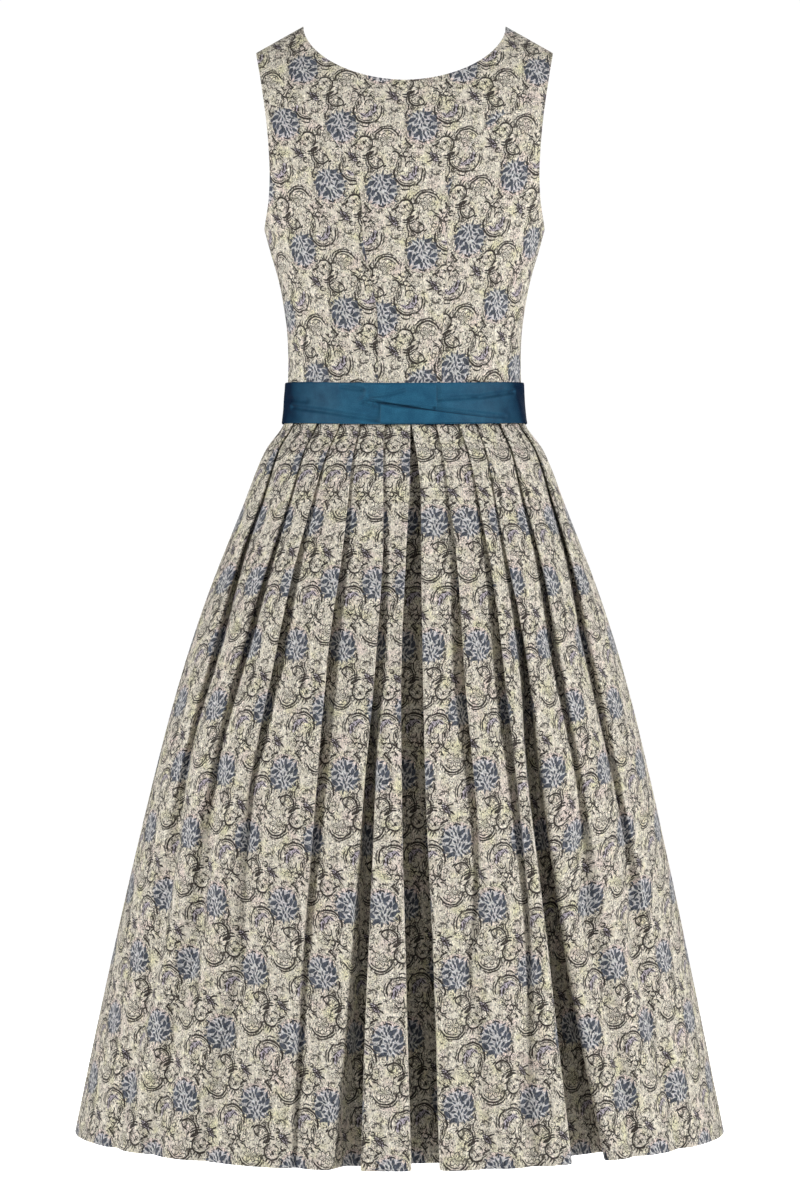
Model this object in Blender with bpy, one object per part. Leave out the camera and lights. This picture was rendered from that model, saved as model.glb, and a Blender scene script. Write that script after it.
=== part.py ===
"""A sleeveless dirndl as it is worn: a panelled bodice, a pleated skirt and a sash.

Metres, +Z up. The origin lies between the shoulders, in the plane of the shoulder and
side seams. The wearer's back faces -Y, the wearer's right is +X.

Every piece is a cloth wall. Angles on the figure are measured from centre back (or, for
a front piece, from centre front) towards the side seam, which lies at 90 degrees.
"""

import math
from collections import namedtuple

import bmesh
import bpy

# Driving sizes
CLOTH = 0.0012
SEAM_GAP = 0.0003
SASH_GAP = 0.0005
SHOULDER_TOP = 0.0150
NECK_HALF_WIDTH = 0.1124
SHOULDER_TIP = 0.1650
SHOULDER_SLOPE = 0.56
BACK_NECK_DEPTH = 0.0680
FRONT_NECK_DEPTH = 0.1700
NECK_ROUNDNESS = 1.9
UNDERARM = -0.2110
WAIST = -0.4040
SASH_TOP = -0.3810
SASH_BOTTOM = -0.4264
HEM = -1.2120
WAIST_DIP = 0.0040
HEM_DIP = 0.0110
HEM_SWAY = -0.0055

# The figure under the bodice: at each height its half width and its depth each way
Section = namedtuple("Section", "height half_width behind before")
TORSO = (
    Section(0.0150, 0.1880, 0.0900, 0.1000),
    Section(-0.0500, 0.1860, 0.0980, 0.1060),
    Section(-0.1200, 0.1820, 0.1020, 0.1170),
    Section(-0.1700, 0.1700, 0.1020, 0.1270),
    Section(-0.2110, 0.1560, 0.1010, 0.1330),
    Section(-0.2360, 0.1490, 0.1000, 0.1330),
    Section(-0.2610, 0.1416, 0.0980, 0.1280),
    Section(-0.2860, 0.1360, 0.0950, 0.1190),
    Section(-0.3300, 0.1300, 0.0900, 0.1060),
    Section(-0.3810, 0.1294, 0.0885, 0.0990),
    Section(-0.4040, 0.1312, 0.0905, 0.1005),
)
SKIRT = (
    Section(-0.4040, 0.1312, 0.0905, 0.1005),
    Section(-0.4264, 0.1340, 0.0930, 0.1030),
    Section(-0.4567, 0.1550, 0.1080, 0.1160),
    Section(-0.5167, 0.1790, 0.1320, 0.1370),
    Section(-0.6278, 0.2217, 0.1680, 0.1710),
    Section(-0.7389, 0.2556, 0.1950, 0.1970),
    Section(-0.9056, 0.2956, 0.2240, 0.2250),
    Section(-1.0722, 0.3317, 0.2500, 0.2500),
    Section(-1.2120, 0.3605, 0.2700, 0.2700),
)
ROUND_FROM = -0.1500  # above this height the figure rounds over to the shoulders
SLOPE_FROM = -0.2000  # above this height the sides drop towards the shoulder tips
DIP_FROM = -0.3000  # below this height the back dips at its middle

# Seams and edges of the bodice, as half widths at heights
Edge = namedtuple("Edge", "height x")
BACK_ARMHOLE = (
    Edge(UNDERARM, 0.1560),
    Edge(-0.1960, 0.1525),
    Edge(-0.1776, 0.1497),
    Edge(-0.1477, 0.1486),
    Edge(-0.1015, 0.1517),
    Edge(-0.0535, 0.1583),
    Edge(-0.0145, SHOULDER_TIP),
)
FRONT_ARMHOLE = (
    Edge(UNDERARM, 0.1560),
    Edge(-0.1980, 0.1505),
    Edge(-0.1800, 0.1450),
    Edge(-0.1450, 0.1415),
    Edge(-0.1000, 0.1440),
    Edge(-0.0535, 0.1530),
    Edge(-0.0145, SHOULDER_TIP),
)
BACK_SEAM_LEFT = (
    Edge(-0.0740, 0.1553),
    Edge(-0.0790, 0.1420),
    Edge(-0.0850, 0.1220),
    Edge(-0.0925, 0.1060),
    Edge(-0.1020, 0.0930),
    Edge(-0.1140, 0.0806),
    Edge(-0.1330, 0.0680),
    Edge(-0.1483, 0.0595),
    Edge(-0.1647, 0.0525),
    Edge(-0.1864, 0.0475),
    Edge(-0.2100, 0.0460),
    Edge(-0.2300, 0.0452),
    Edge(-0.2500, 0.0410),
    Edge(-0.2900, 0.0327),
    Edge(-0.3200, 0.0296),
    Edge(WAIST, 0.0290),
)
BACK_SEAM_RIGHT = (
    Edge(-0.0740, 0.1553),
    Edge(-0.0790, 0.1420),
    Edge(-0.0850, 0.1220),
    Edge(-0.0925, 0.1060),
    Edge(-0.1020, 0.0930),
    Edge(-0.1140, 0.0806),
    Edge(-0.1330, 0.0680),
    Edge(-0.1483, 0.0595),
    Edge(-0.1647, 0.0525),
    Edge(-0.1864, 0.0480),
    Edge(-0.2100, 0.0472),
    Edge(-0.2600, 0.0459),
    Edge(-0.3000, 0.0428),
    Edge(-0.3400, 0.0410),
    Edge(WAIST, 0.0400),
)
FRONT_SEAM = (
    Edge(-0.1450, 0.1415),
    Edge(-0.1700, 0.1230),
    Edge(-0.2000, 0.1050),
    Edge(-0.2500, 0.0880),
    Edge(-0.3200, 0.0740),
    Edge(WAIST, 0.0660),
)

# Rows of points up a seam of the back and of the front and from there to the shoulder,
# and straight pieces across a panel
BACK_COUNT = 15
FRONT_COUNT = 9
HIGH_COUNT = 9
ACROSS = 6
SEAM_SAMPLES = 200  # parts in which the length of a seam is measured

# Folds of the skirt. A fold's crest is its outer edge, which faces the centre line.
# crest: its place at each level, as a share of the skirt's half width
# slack: the cloth laid into the fold at each level, in millimetres
# flat: the share of the cloth before the fold that stays flat, low on the skirt
LEVELS = (SASH_BOTTOM, -0.4890, -0.5670, -0.6780, -0.8220, -1.0110, HEM)
FOLD_ANGLE = (166, 162, 147, 124, 108, 98, 94)  # how far a fold is laid back, degrees
FOLD_RADIUS = (0.0008, 0.0011, 0.0018, 0.0032, 0.0055, 0.0080, 0.0100)
FADING_SLACK = 0.012  # a fold with less cloth than this opens out
STEEPEST = 1.3  # the most that a fold's face may slope, radians
SHALLOW = 0.28  # the share of the fold's angle that is left when it has opened out
Fold = namedtuple("Fold", "crest slack flat", defaults=(0.0,))
BACK_RIGHT = (
    Fold((0.066, 0.108, 0.100, 0.100, 0.113, 0.140, 0.148), (60, 54, 50, 56, 72, 86, 90)),
    Fold((0.270, 0.282, 0.293, 0.290, 0.296, 0.310, 0.322), (66, 56, 48, 34, 14, 4, 2)),
    Fold((0.455, 0.466, 0.470, 0.470, 0.466, 0.462, 0.462), (60, 54, 42, 36, 18, 8, 3)),
    Fold((0.600, 0.578, 0.568, 0.578, 0.570, 0.578, 0.606), (60, 54, 50, 56, 70, 86, 92), 0.28),
    Fold((0.795, 0.758, 0.750, 0.725, 0.718, 0.730, 0.751), (66, 54, 42, 26, 10, 3, 2)),
    Fold((0.965, 0.940, 0.920, 0.880, 0.872, 0.875, 0.885), (38, 40, 36, 22, 12, 4, 2)),
)
BACK_LEFT = (
    Fold((-0.038, -0.026, -0.003, 0.020, 0.020, 0.006, -0.008), (60, 54, 50, 56, 72, 86, 90)),
    Fold((0.173, 0.145, 0.125, 0.141, 0.171, 0.201, 0.228), (62, 58, 52, 58, 68, 78, 82), 0.42),
    Fold((0.375, 0.361, 0.347, 0.360, 0.349, 0.342, 0.352), (64, 56, 46, 34, 20, 10, 6)),
    Fold((0.540, 0.570, 0.590, 0.600, 0.610, 0.625, 0.640), (58, 54, 46, 28, 10, 4, 2)),
    Fold((0.730, 0.720, 0.735, 0.755, 0.770, 0.780, 0.790), (64, 52, 42, 22, 8, 4, 2)),
    Fold((0.930, 0.900, 0.905, 0.890, 0.895, 0.895, 0.895), (44, 44, 38, 20, 8, 4, 2)),
)
FRONT_RIGHT = (
    Fold((0.012, 0.040, 0.052, 0.064, 0.078, 0.088, 0.096), (60, 54, 46, 38, 32, 28, 26)),
    Fold((0.225, 0.228, 0.234, 0.240, 0.250, 0.258, 0.262), (66, 56, 44, 28, 12, 4, 2)),
    Fold((0.415, 0.420, 0.428, 0.436, 0.446, 0.456, 0.464), (64, 56, 50, 48, 50, 48, 46)),
    Fold((0.600, 0.602, 0.606, 0.612, 0.618, 0.624, 0.630), (64, 56, 44, 28, 12, 4, 2)),
    Fold((0.770, 0.772, 0.772, 0.774, 0.776, 0.780, 0.784), (64, 54, 46, 36, 28, 22, 18)),
    Fold((0.905, 0.905, 0.905, 0.905, 0.905, 0.905, 0.905), (46, 44, 38, 24, 10, 4, 2)),
)
FRONT_LEFT = (
    Fold((0.012, 0.034, 0.044, 0.054, 0.064, 0.072, 0.078), (60, 54, 46, 38, 32, 28, 26)),
    Fold((0.215, 0.220, 0.226, 0.234, 0.242, 0.250, 0.256), (66, 56, 48, 40, 34, 28, 24)),
    Fold((0.405, 0.412, 0.420, 0.428, 0.436, 0.444, 0.450), (64, 56, 44, 28, 12, 4, 2)),
    Fold((0.590, 0.594, 0.600, 0.610, 0.620, 0.632, 0.640), (64, 56, 48, 42, 40, 38, 36)),
    Fold((0.765, 0.768, 0.770, 0.774, 0.778, 0.782, 0.786), (64, 54, 44, 28, 12, 6, 4)),
    Fold((0.905, 0.905, 0.905, 0.905, 0.905, 0.905, 0.905), (46, 44, 38, 24, 10, 4, 2)),
)
SKIRT_ROWS = (
    WAIST - SEAM_GAP,
    SASH_BOTTOM,
    -0.4420,
    -0.4600,
    -0.4890,
    -0.5270,
    -0.5670,
    -0.6200,
    -0.6780,
    -0.7480,
    -0.8220,
    -1.0110,
    HEM,
)
TURN_STEPS = 2  # straight pieces in each turn of a fold
FACE_STEPS = 3  # straight pieces across the face of a fold
FLAT_FROM = -0.5670  # the flat part before a fold starts here
FLAT_FULL = -0.8220  # and has its whole width from here down
LEAD = 0.25  # above that, the share of the face that takes its place
SIDE_STEPS = 2  # straight pieces from the last fold to the side seam
RING_STEPS = 120  # parts in which a quarter of the skirt's outline is measured

# The two ends of the sash, which cross flat at centre back
END_UPPER_FROM = -0.0450
END_UPPER_TO = 0.0350
END_LOWER_FROM = -0.0260
END_LOWER_TO = 0.1050
END_INSET = 0.0012
CROSSING_DROP = 0.0190  # how far below the sash's top the two ends start to cross
CROSSING_SLOPE = 0.145
SASH_ROWS = (SASH_TOP, (SASH_TOP + WAIST) / 2, WAIST, SASH_BOTTOM)
SASH_COLUMNS = 88
END_ROWS = 2
END_COLUMNS = 12

Finish = namedtuple("Finish", "colour roughness")
JACQUARD = Finish((0.52, 0.47, 0.38, 1.0), 0.85)
SATIN = Finish((0.03, 0.11, 0.20, 1.0), 0.5)


def spline(rows, height, column):
    """A column of a table at a height, on a smooth curve through its rows."""
    rows = sorted(rows, key=lambda row: row.height)
    height = min(max(height, rows[0].height), rows[-1].height)
    i = 0
    while i < len(rows) - 2 and height > rows[i + 1].height:
        i += 1

    def slope(j):
        low, high = rows[max(j - 1, 0)], rows[min(j + 1, len(rows) - 1)]
        return (getattr(high, column) - getattr(low, column)) / (high.height - low.height)

    low, high = rows[i], rows[i + 1]
    step = high.height - low.height
    t = (height - low.height) / step
    start, end = getattr(low, column), getattr(high, column)
    return (
        (2 * t**3 - 3 * t**2 + 1) * start
        + (t**3 - 2 * t**2 + t) * step * slope(i)
        + (3 * t**2 - 2 * t**3) * end
        + (t**3 - t**2) * step * slope(i + 1)
    )


def ramp(start, end, value):
    """0 at start, 1 at end, with soft ends."""
    t = min(max((value - start) / (end - start), 0.0), 1.0)
    return t * t * (3 - 2 * t)


def at_level(values, height):
    """A value of the skirt's levels at a height."""
    if height >= LEVELS[0]:
        return values[0]
    for i in range(len(LEVELS) - 1):
        if height >= LEVELS[i + 1]:
            t = (LEVELS[i] - height) / (LEVELS[i] - LEVELS[i + 1])
            return values[i] + (values[i + 1] - values[i]) * t
    return values[-1]


# Bodice


def shoulder_drop(x, height):
    """How far the slope of the shoulder lowers a point of the figure."""
    return SHOULDER_SLOPE * max(0.0, x - NECK_HALF_WIDTH) * ramp(SLOPE_FROM, SHOULDER_TOP, height)


def body_point(angle, height, side, front, out=0.0):
    """A point on the bodice's outer side, moved out along the figure's normal."""
    half = spline(TORSO, height, "half_width")
    depth = spline(TORSO, height, "before" if front else "behind")
    rounding = 1.0
    if height > ROUND_FROM:
        rounding = math.sqrt(max(0.0, 1 - ((height - ROUND_FROM) / (SHOULDER_TOP - ROUND_FROM)) ** 2))
    x = half * math.sin(angle)
    y = depth * rounding * math.cos(angle)
    drop = shoulder_drop(x, height)
    dip = 0.0 if front else WAIST_DIP * math.cos(angle) ** 2 * (1 - ramp(WAIST, DIP_FROM, height))
    point = (side * x, y if front else -y, height - drop - dip)
    if not out:
        return point
    step = 1e-4
    along = difference(
        body_point(angle + step, height, side, front), body_point(angle - step, height, side, front)
    )
    if height > SHOULDER_TOP - step:
        up = (0.0, -1.0 if front else 1.0, 0.0)
    else:
        up = difference(
            body_point(angle, height + step, side, front),
            body_point(angle, height - step, side, front),
        )
    normal = cross(along, up) if side * (-1 if front else 1) > 0 else cross(up, along)
    size = math.sqrt(sum(n * n for n in normal))
    return tuple(p + out * n / size for p, n in zip(point, normal))


def difference(a, b):
    return tuple(p - q for p, q in zip(a, b))


def cross(a, b):
    return (
        a[1] * b[2] - a[2] * b[1],
        a[2] * b[0] - a[0] * b[2],
        a[0] * b[1] - a[1] * b[0],
    )


def on_figure(x, z):
    """The angle and the height on the figure of a point seen at x and z."""
    height = z
    for _ in range(20):
        height = min(z + shoulder_drop(x, height), SHOULDER_TOP)
    return math.asin(min(1.0, x / spline(TORSO, height, "half_width"))), height


def neckline(depth, share):
    """The neckline's half width and height, from centre (0) to the shoulder (1)."""
    turn = share * math.pi / 2
    x = NECK_HALF_WIDTH * math.sin(turn) ** (2 / NECK_ROUNDNESS)
    return x, SHOULDER_TOP - depth * math.cos(turn) ** (2 / NECK_ROUNDNESS)


def climb(high, count):
    """Heights from the waist up, the first ones level with the sash's rows."""
    covered = sorted(row for row in SASH_ROWS if row >= WAIST)
    rest = count + 1 - len(covered)
    return covered + [SASH_TOP + (high - SASH_TOP) * i / rest for i in range(1, rest + 1)]


def seam_line(rows, count):
    """Points of a seam from the waist to the armhole, evenly spaced above the sash."""
    high = rows[0].height
    trace = [SASH_TOP + (high - SASH_TOP) * i / SEAM_SAMPLES for i in range(SEAM_SAMPLES + 1)]
    lengths = [0.0]
    for low, top in zip(trace, trace[1:]):
        lengths.append(lengths[-1] + math.hypot(top - low, spline(rows, top, "x") - spline(rows, low, "x")))
    heights = []
    for even in climb(high, count):
        share = (even - SASH_TOP) / (high - SASH_TOP)
        if share > 0:
            i = min(sum(length < share * lengths[-1] for length in lengths), SEAM_SAMPLES)
            even = trace[i]
        heights.append(even)
    return [on_figure(spline(rows, z, "x"), z) for z in heights]


def side_seam(count):
    return [on_figure(spline(TORSO, z, "half_width"), z) for z in climb(UNDERARM, count)]


def aside(line, gap):
    """A seam line moved sideways, towards the side seam where gap is positive."""
    return [(angle + gap / spline(TORSO, height, "half_width"), height) for angle, height in line]


def between(inner, outer, count):
    return [
        [
            (a[0] + (b[0] - a[0]) * i / count, a[1] + (b[1] - a[1]) * i / count)
            for i in range(count + 1)
        ]
        for a, b in zip(inner, outer)
    ]


def body_walls(grid, side, front):
    """The outer and inner points of a panel."""
    return tuple(
        [[body_point(angle, height, side, front, -depth) for angle, height in row] for row in grid]
        for depth in (1e-6, CLOTH)
    )


def armhole(rows, low, count):
    """Points up an armhole, closer together at its ends."""
    tip = rows[-1].height
    heights = [low + (tip - low) * ramp(0, count, i) for i in range(count + 1)]
    line = [on_figure(spline(rows, z, "x"), z) for z in heights]
    return line[:-1] + [on_figure(SHOULDER_TIP, tip)]


def shoulder_gap(grid):
    """Ends a panel just short of the shoulder seam."""
    short = SHOULDER_TOP - 2e-7
    return grid[:-1] + [[(angle, short) for angle, _ in grid[-1]]]


def side_panel(side, front, seam, hole, count):
    """A panel from the shaped seam to the side seam, up to the armhole."""
    high = seam[0].height
    inner = aside(seam_line(seam, count), SEAM_GAP / 2)
    outer = aside(side_seam(count), -SEAM_GAP / 2)
    grid = between(inner, outer, ACROSS)
    # the upper rows bend to the armhole
    for i in range(1, ACROSS):
        z = high + (UNDERARM - high) * i / ACROSS
        edge = on_figure(spline(hole, z, "x"), z)
        straight = grid[-1][i]
        for j, row in enumerate(grid):
            bend = (j / count) ** 3
            row[i] = tuple(a + (b - c) * bend for a, b, c in zip(row[i], edge, straight))
    return body_walls(grid, side, front)


def middle_panel(side, front, seam, hole, count, neck_depth, gap):
    """Half of the middle of the back or front, from its centre line to the seam and armhole.

    Up to the neckline it has count rows, and from there to the shoulder HIGH_COUNT more.
    """
    inner = aside([(0.0, height) for height in climb(SHOULDER_TOP - neck_depth, count)], gap)
    for i in range(1, HIGH_COUNT + 1):
        share = math.sin(math.pi / 2 * i / HIGH_COUNT)
        inner.append(on_figure(*neckline(neck_depth, share)))
    outer = aside(seam_line(seam, count), -SEAM_GAP / 2)
    outer += armhole(hole, seam[0].height, HIGH_COUNT)[1:]
    return body_walls(shoulder_gap(between(inner, outer, ACROSS)), side, front)


# Skirt


class Ring:
    """The skirt's outline at one height, measured along a quarter from its centre line."""

    def __init__(self, height, front):
        self.height = height
        self.front = front
        self.half = spline(SKIRT, height, "half_width")
        self.depth = spline(SKIRT, height, "before" if front else "behind")
        self.lengths = [0.0]
        self.steps = RING_STEPS
        for i in range(self.steps):
            middle = (i + 0.5) * math.pi / 2 / self.steps
            speed = math.hypot(self.half * math.cos(middle), self.depth * math.sin(middle))
            self.lengths.append(self.lengths[-1] + speed * math.pi / 2 / self.steps)
        self.quarter = self.lengths[-1]

    def along(self, share):
        """The length along the outline to a share of the half width."""
        place = abs(math.asin(share)) / (math.pi / 2) * self.steps
        i = min(int(place), self.steps - 1)
        length = self.lengths[i] + (self.lengths[i + 1] - self.lengths[i]) * (place - i)
        return math.copysign(length, share)

    def angle(self, length):
        """The angle at a length along the outline."""
        size = min(abs(length), self.quarter)
        low, high = 0, self.steps
        while high - low > 1:
            middle = (low + high) // 2
            low, high = (middle, high) if self.lengths[middle] <= size else (low, middle)
        part = (size - self.lengths[low]) / (self.lengths[low + 1] - self.lengths[low])
        beyond = (abs(length) - size) / self.depth
        return math.copysign((low + part) * math.pi / 2 / self.steps + beyond, length)

    def point(self, length, inward, side):
        """A point this far inside the outline."""
        angle = self.angle(length)
        x, y = self.half * math.sin(angle), self.depth * math.cos(angle)
        normal = (self.depth * math.sin(angle), self.half * math.cos(angle))
        size = math.hypot(*normal)
        x -= inward * normal[0] / size
        y -= inward * normal[1] / size
        down = ramp(WAIST, HEM, self.height)
        dip = 0.0 if self.front else (WAIST_DIP + (HEM_DIP - WAIST_DIP) * down) * math.cos(angle) ** 2
        return (side * x + HEM_SWAY * down, y if self.front else -y, self.height - dip)


def solve_fold(width, slack, angle, radius):
    """The lengths of a fold's face and return and the slope of its face.

    The cloth runs from one crest along the face into the fold's bottom, turns, comes back
    out and turns again at the next crest, which lies width further on.
    """
    cloth = width + slack
    back = (cloth**2 - width**2) / (2 * (cloth - width * math.cos(angle)))
    slope = math.atan2(back * math.sin(angle), width - back * math.cos(angle))
    radius = min(radius, 0.4 * back / (angle + slope))
    low, high = 0.0, min(STEEPEST, 0.999 * angle)
    for _ in range(40):
        slope = (low + high) / 2
        straight = cloth - 2 * radius * (angle + slope)
        wide = width - 2 * radius * (math.sin(slope) + math.sin(angle))
        face = (wide - straight * math.cos(angle)) / (math.cos(slope) - math.cos(angle))
        back = straight - face
        rise = face * math.sin(slope) - back * math.sin(angle)
        rise += 2 * radius * (math.cos(angle) - math.cos(slope))
        low, high = (slope, high) if rise < 0 else (low, slope)
    return face, back, slope, radius


def walk(start, moves):
    """Follows straight runs and turns. Each point is place, depth, heading and cloth."""
    place, depth, cloth = start
    points = []
    for kind, size, heading, turned, steps in moves:
        for i in range(1, steps + 1):
            if kind == "run":
                place += size / steps * math.cos(heading)
                depth += size / steps * math.sin(heading)
                cloth += size / steps
                points.append((place, depth, heading, cloth))
            else:
                first = heading + (turned - heading) * (i - 1) / steps
                last = heading + (turned - heading) * i / steps
                chord = 2 * size * abs(math.sin((last - first) / 2))
                place += chord * math.cos((first + last) / 2)
                depth += chord * math.sin((first + last) / 2)
                cloth += size * abs(last - first)
                points.append((place, depth, last, cloth))
    return points


def quarter_line(folds, opposite, height, front):
    """The cloth's middle line over a quarter of the skirt, from the centre line out."""
    ring = Ring(height, front)
    crest = [ring.along(at_level(fold.crest, height)) for fold in folds]
    centre = (crest[0] - ring.along(at_level(opposite[0].crest, height))) / 2
    radius = at_level(FOLD_RADIUS, height)
    low = ramp(FLAT_FROM, FLAT_FULL, height)
    points = []
    start = centre
    for k, fold in enumerate(folds):
        slack = at_level(fold.slack, height) / 1000
        fading = max(SHALLOW, ramp(0.0, FADING_SLACK, slack))
        angle = math.radians(at_level(FOLD_ANGLE, height)) * fading
        width = crest[k] - start
        flat = width * fold.flat * low
        if k == 0:
            back = slack / 2
            turn = radius * 2 * math.sin(angle)
            floor = width - back * math.cos(angle) - turn
            depth = back * math.sin(angle) + 2 * radius * (1 - math.cos(angle))
            first = (centre, depth, 0.0)
            face, slope, small, target = floor, 0.0, radius, (crest[0], 0.0)
            points.append((centre, depth, 0.0, 0.0))
        else:
            face, back, slope, small = solve_fold(width - flat, slack, angle, radius)
            first = (start, 0.0, points[-1][3])
            target = (crest[k], 0.0)
        level, lead = slope, 0.0
        if fold.flat:
            level = slope * (1 - low)
            lead = LEAD * face * (1 - low)
        moves = (
            ("run", flat + lead, level, level, 1 if fold.flat else 0),
            ("run", face - lead, slope, slope, FACE_STEPS),
            ("turn", small, slope, -angle, TURN_STEPS),
            ("run", back, -angle, -angle, 1),
            ("turn", small, -angle, level, TURN_STEPS),
        )
        made = walk(first, moves)
        # the last point falls on the crest exactly
        length = made[-1][3] - first[2]
        miss = (made[-1][0] - target[0], made[-1][1] - target[1])
        for place, depth, heading, cloth in made:
            share = (cloth - first[2]) / length
            points.append((place - miss[0] * share, depth - miss[1] * share, heading, cloth))
        start = crest[k]
    side = ring.quarter - start
    points += walk((start, 0.0, points[-1][3]), (("run", side, 0.0, 0.0, SIDE_STEPS),))
    return ring, points


def quarter_walls(folds, opposite, side, front, height, ends):
    """The outer and the inner points of a quarter at one height.

    ends says which ends of the quarter meet a seam, and so stand back from it.
    """
    ring, line = quarter_line(folds, opposite, height, front)
    walls = []
    for out in (-CLOTH / 2, CLOTH / 2):
        row = []
        for i, (place, depth, heading, _) in enumerate(line):
            shift = 0.0
            if i == 0 and ends[0]:
                shift = SEAM_GAP / 2
            if i == len(line) - 1 and ends[1]:
                shift = -SEAM_GAP / 2
            at = place + shift - out * math.sin(heading)
            inward = depth + CLOTH / 2 + out * math.cos(heading)
            row.append(ring.point(at, inward, side))
        walls.append(row)
    return walls


def skirt_back():
    outer, inner = [], []
    for height in SKIRT_ROWS:
        left = quarter_walls(BACK_LEFT, BACK_RIGHT, -1, False, height, (False, True))
        right = quarter_walls(BACK_RIGHT, BACK_LEFT, 1, False, height, (False, True))
        outer.append(left[0][::-1] + right[0][1:])
        inner.append(left[1][::-1] + right[1][1:])
    return outer, inner


def skirt_front(folds, opposite, side):
    outer, inner = [], []
    for height in SKIRT_ROWS:
        walls = quarter_walls(folds, opposite, side, True, height, (True, True))
        outer.append(walls[0])
        inner.append(walls[1])
    return outer, inner


# Sash


def waist_point(angle, height, out):
    """A point round the waist, on the bodice above the waist seam and on the skirt below."""
    front = math.cos(angle) < 0
    half = straight_profile(height, "half_width")
    depth = straight_profile(height, "before" if front else "behind")
    x, y = half * math.sin(angle), -depth * math.cos(angle)
    normal = (depth * math.sin(angle), -half * math.cos(angle))
    size = math.hypot(*normal)
    dip = 0.0 if front else WAIST_DIP * math.cos(angle) ** 2
    return (x + out * normal[0] / size, y + out * normal[1] / size, height - dip)


def straight_profile(height, column):
    """A size of the waist at a height, straight between the sash's rows."""
    j = 0
    while j < len(SASH_ROWS) - 2 and height < SASH_ROWS[j + 1]:
        j += 1
    top, bottom = SASH_ROWS[j], SASH_ROWS[j + 1]
    above = spline(TORSO if top >= WAIST else SKIRT, top, column)
    below = spline(TORSO if bottom >= WAIST else SKIRT, bottom, column)
    return above + (below - above) * (top - height) / (top - bottom)


def sash_band():
    """The folded band, all round, moved out from the waist."""
    angles = [2 * math.pi * i / SASH_COLUMNS for i in range(SASH_COLUMNS + 1)]
    outer, inner = [], []
    for height in SASH_ROWS:
        outer.append([waist_point(a, height, SASH_GAP + CLOTH) for a in angles])
        inner.append([waist_point(a, height, SASH_GAP) for a in angles])
    return outer, inner


def sash_crossing(x):
    """The slanting line where the lower end lies over the upper one."""
    return SASH_TOP - CROSSING_DROP - CROSSING_SLOPE * (x - END_UPPER_FROM)


def sash_end(start, end, upper):
    """One end of the sash, laid flat on the band."""
    outer, inner = [], []
    for j in range(END_ROWS + 1):
        outer.append([])
        inner.append([])
        for i in range(END_COLUMNS + 1):
            x = start + (end - start) * i / END_COLUMNS
            angle = math.asin(x / spline(TORSO, WAIST, "half_width"))
            if upper:
                top, bottom = SASH_TOP - END_INSET, sash_crossing(x) + SEAM_GAP
            else:
                top, bottom = sash_crossing(x) - SEAM_GAP, SASH_BOTTOM + END_INSET
            height = top + (bottom - top) * j / END_ROWS
            outer[-1].append(waist_point(angle, height, 2 * (SASH_GAP + CLOTH)))
            inner[-1].append(waist_point(angle, height, 2 * SASH_GAP + CLOTH))
    return outer, inner


# Meshes


def cloth_wall(name, sheets, finish, collection):
    """A closed wall between the outer and the inner grid of points of one or more sheets.

    Points that two sheets share, or that close a ring, are one point of the wall.
    """
    mesh = bmesh.new()
    made = {}

    def pair(outer_point, inner_point):
        key = tuple(round(size, 6) for size in outer_point)
        if key not in made:
            made[key] = (mesh.verts.new(outer_point), mesh.verts.new(inner_point))
        return made[key]

    def quad(a, b, c, d):
        mesh.faces.new((a, b, c))
        mesh.faces.new((a, c, d))

    partner = {}
    for outer, inner in sheets:
        rows = [[pair(*points) for points in zip(*row)] for row in zip(outer, inner)]
        for low, high in zip(rows, rows[1:]):
            for i in range(len(low) - 1):
                corners = (low[i], low[i + 1], high[i + 1], high[i])
                partner.update(corners)
                for wall in (0, 1):
                    quad(*(corner[wall] for corner in corners))
    rim = [edge.verts[:] for edge in mesh.edges if edge.is_boundary and edge.verts[0] in partner]
    for a, b in rim:
        quad(a, b, partner[b], partner[a])
    bmesh.ops.recalc_face_normals(mesh, faces=mesh.faces)
    data = bpy.data.meshes.new(name)
    mesh.to_mesh(data)
    mesh.free()
    data.shade_smooth()
    piece = bpy.data.objects.new(name, data)
    material = bpy.data.materials.new(name)
    material.use_nodes = True
    shader = material.node_tree.nodes["Principled BSDF"]
    shader.inputs["Base Color"].default_value = finish.colour
    shader.inputs["Roughness"].default_value = finish.roughness
    data.materials.append(material)
    collection.objects.link(piece)
    return piece


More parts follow.
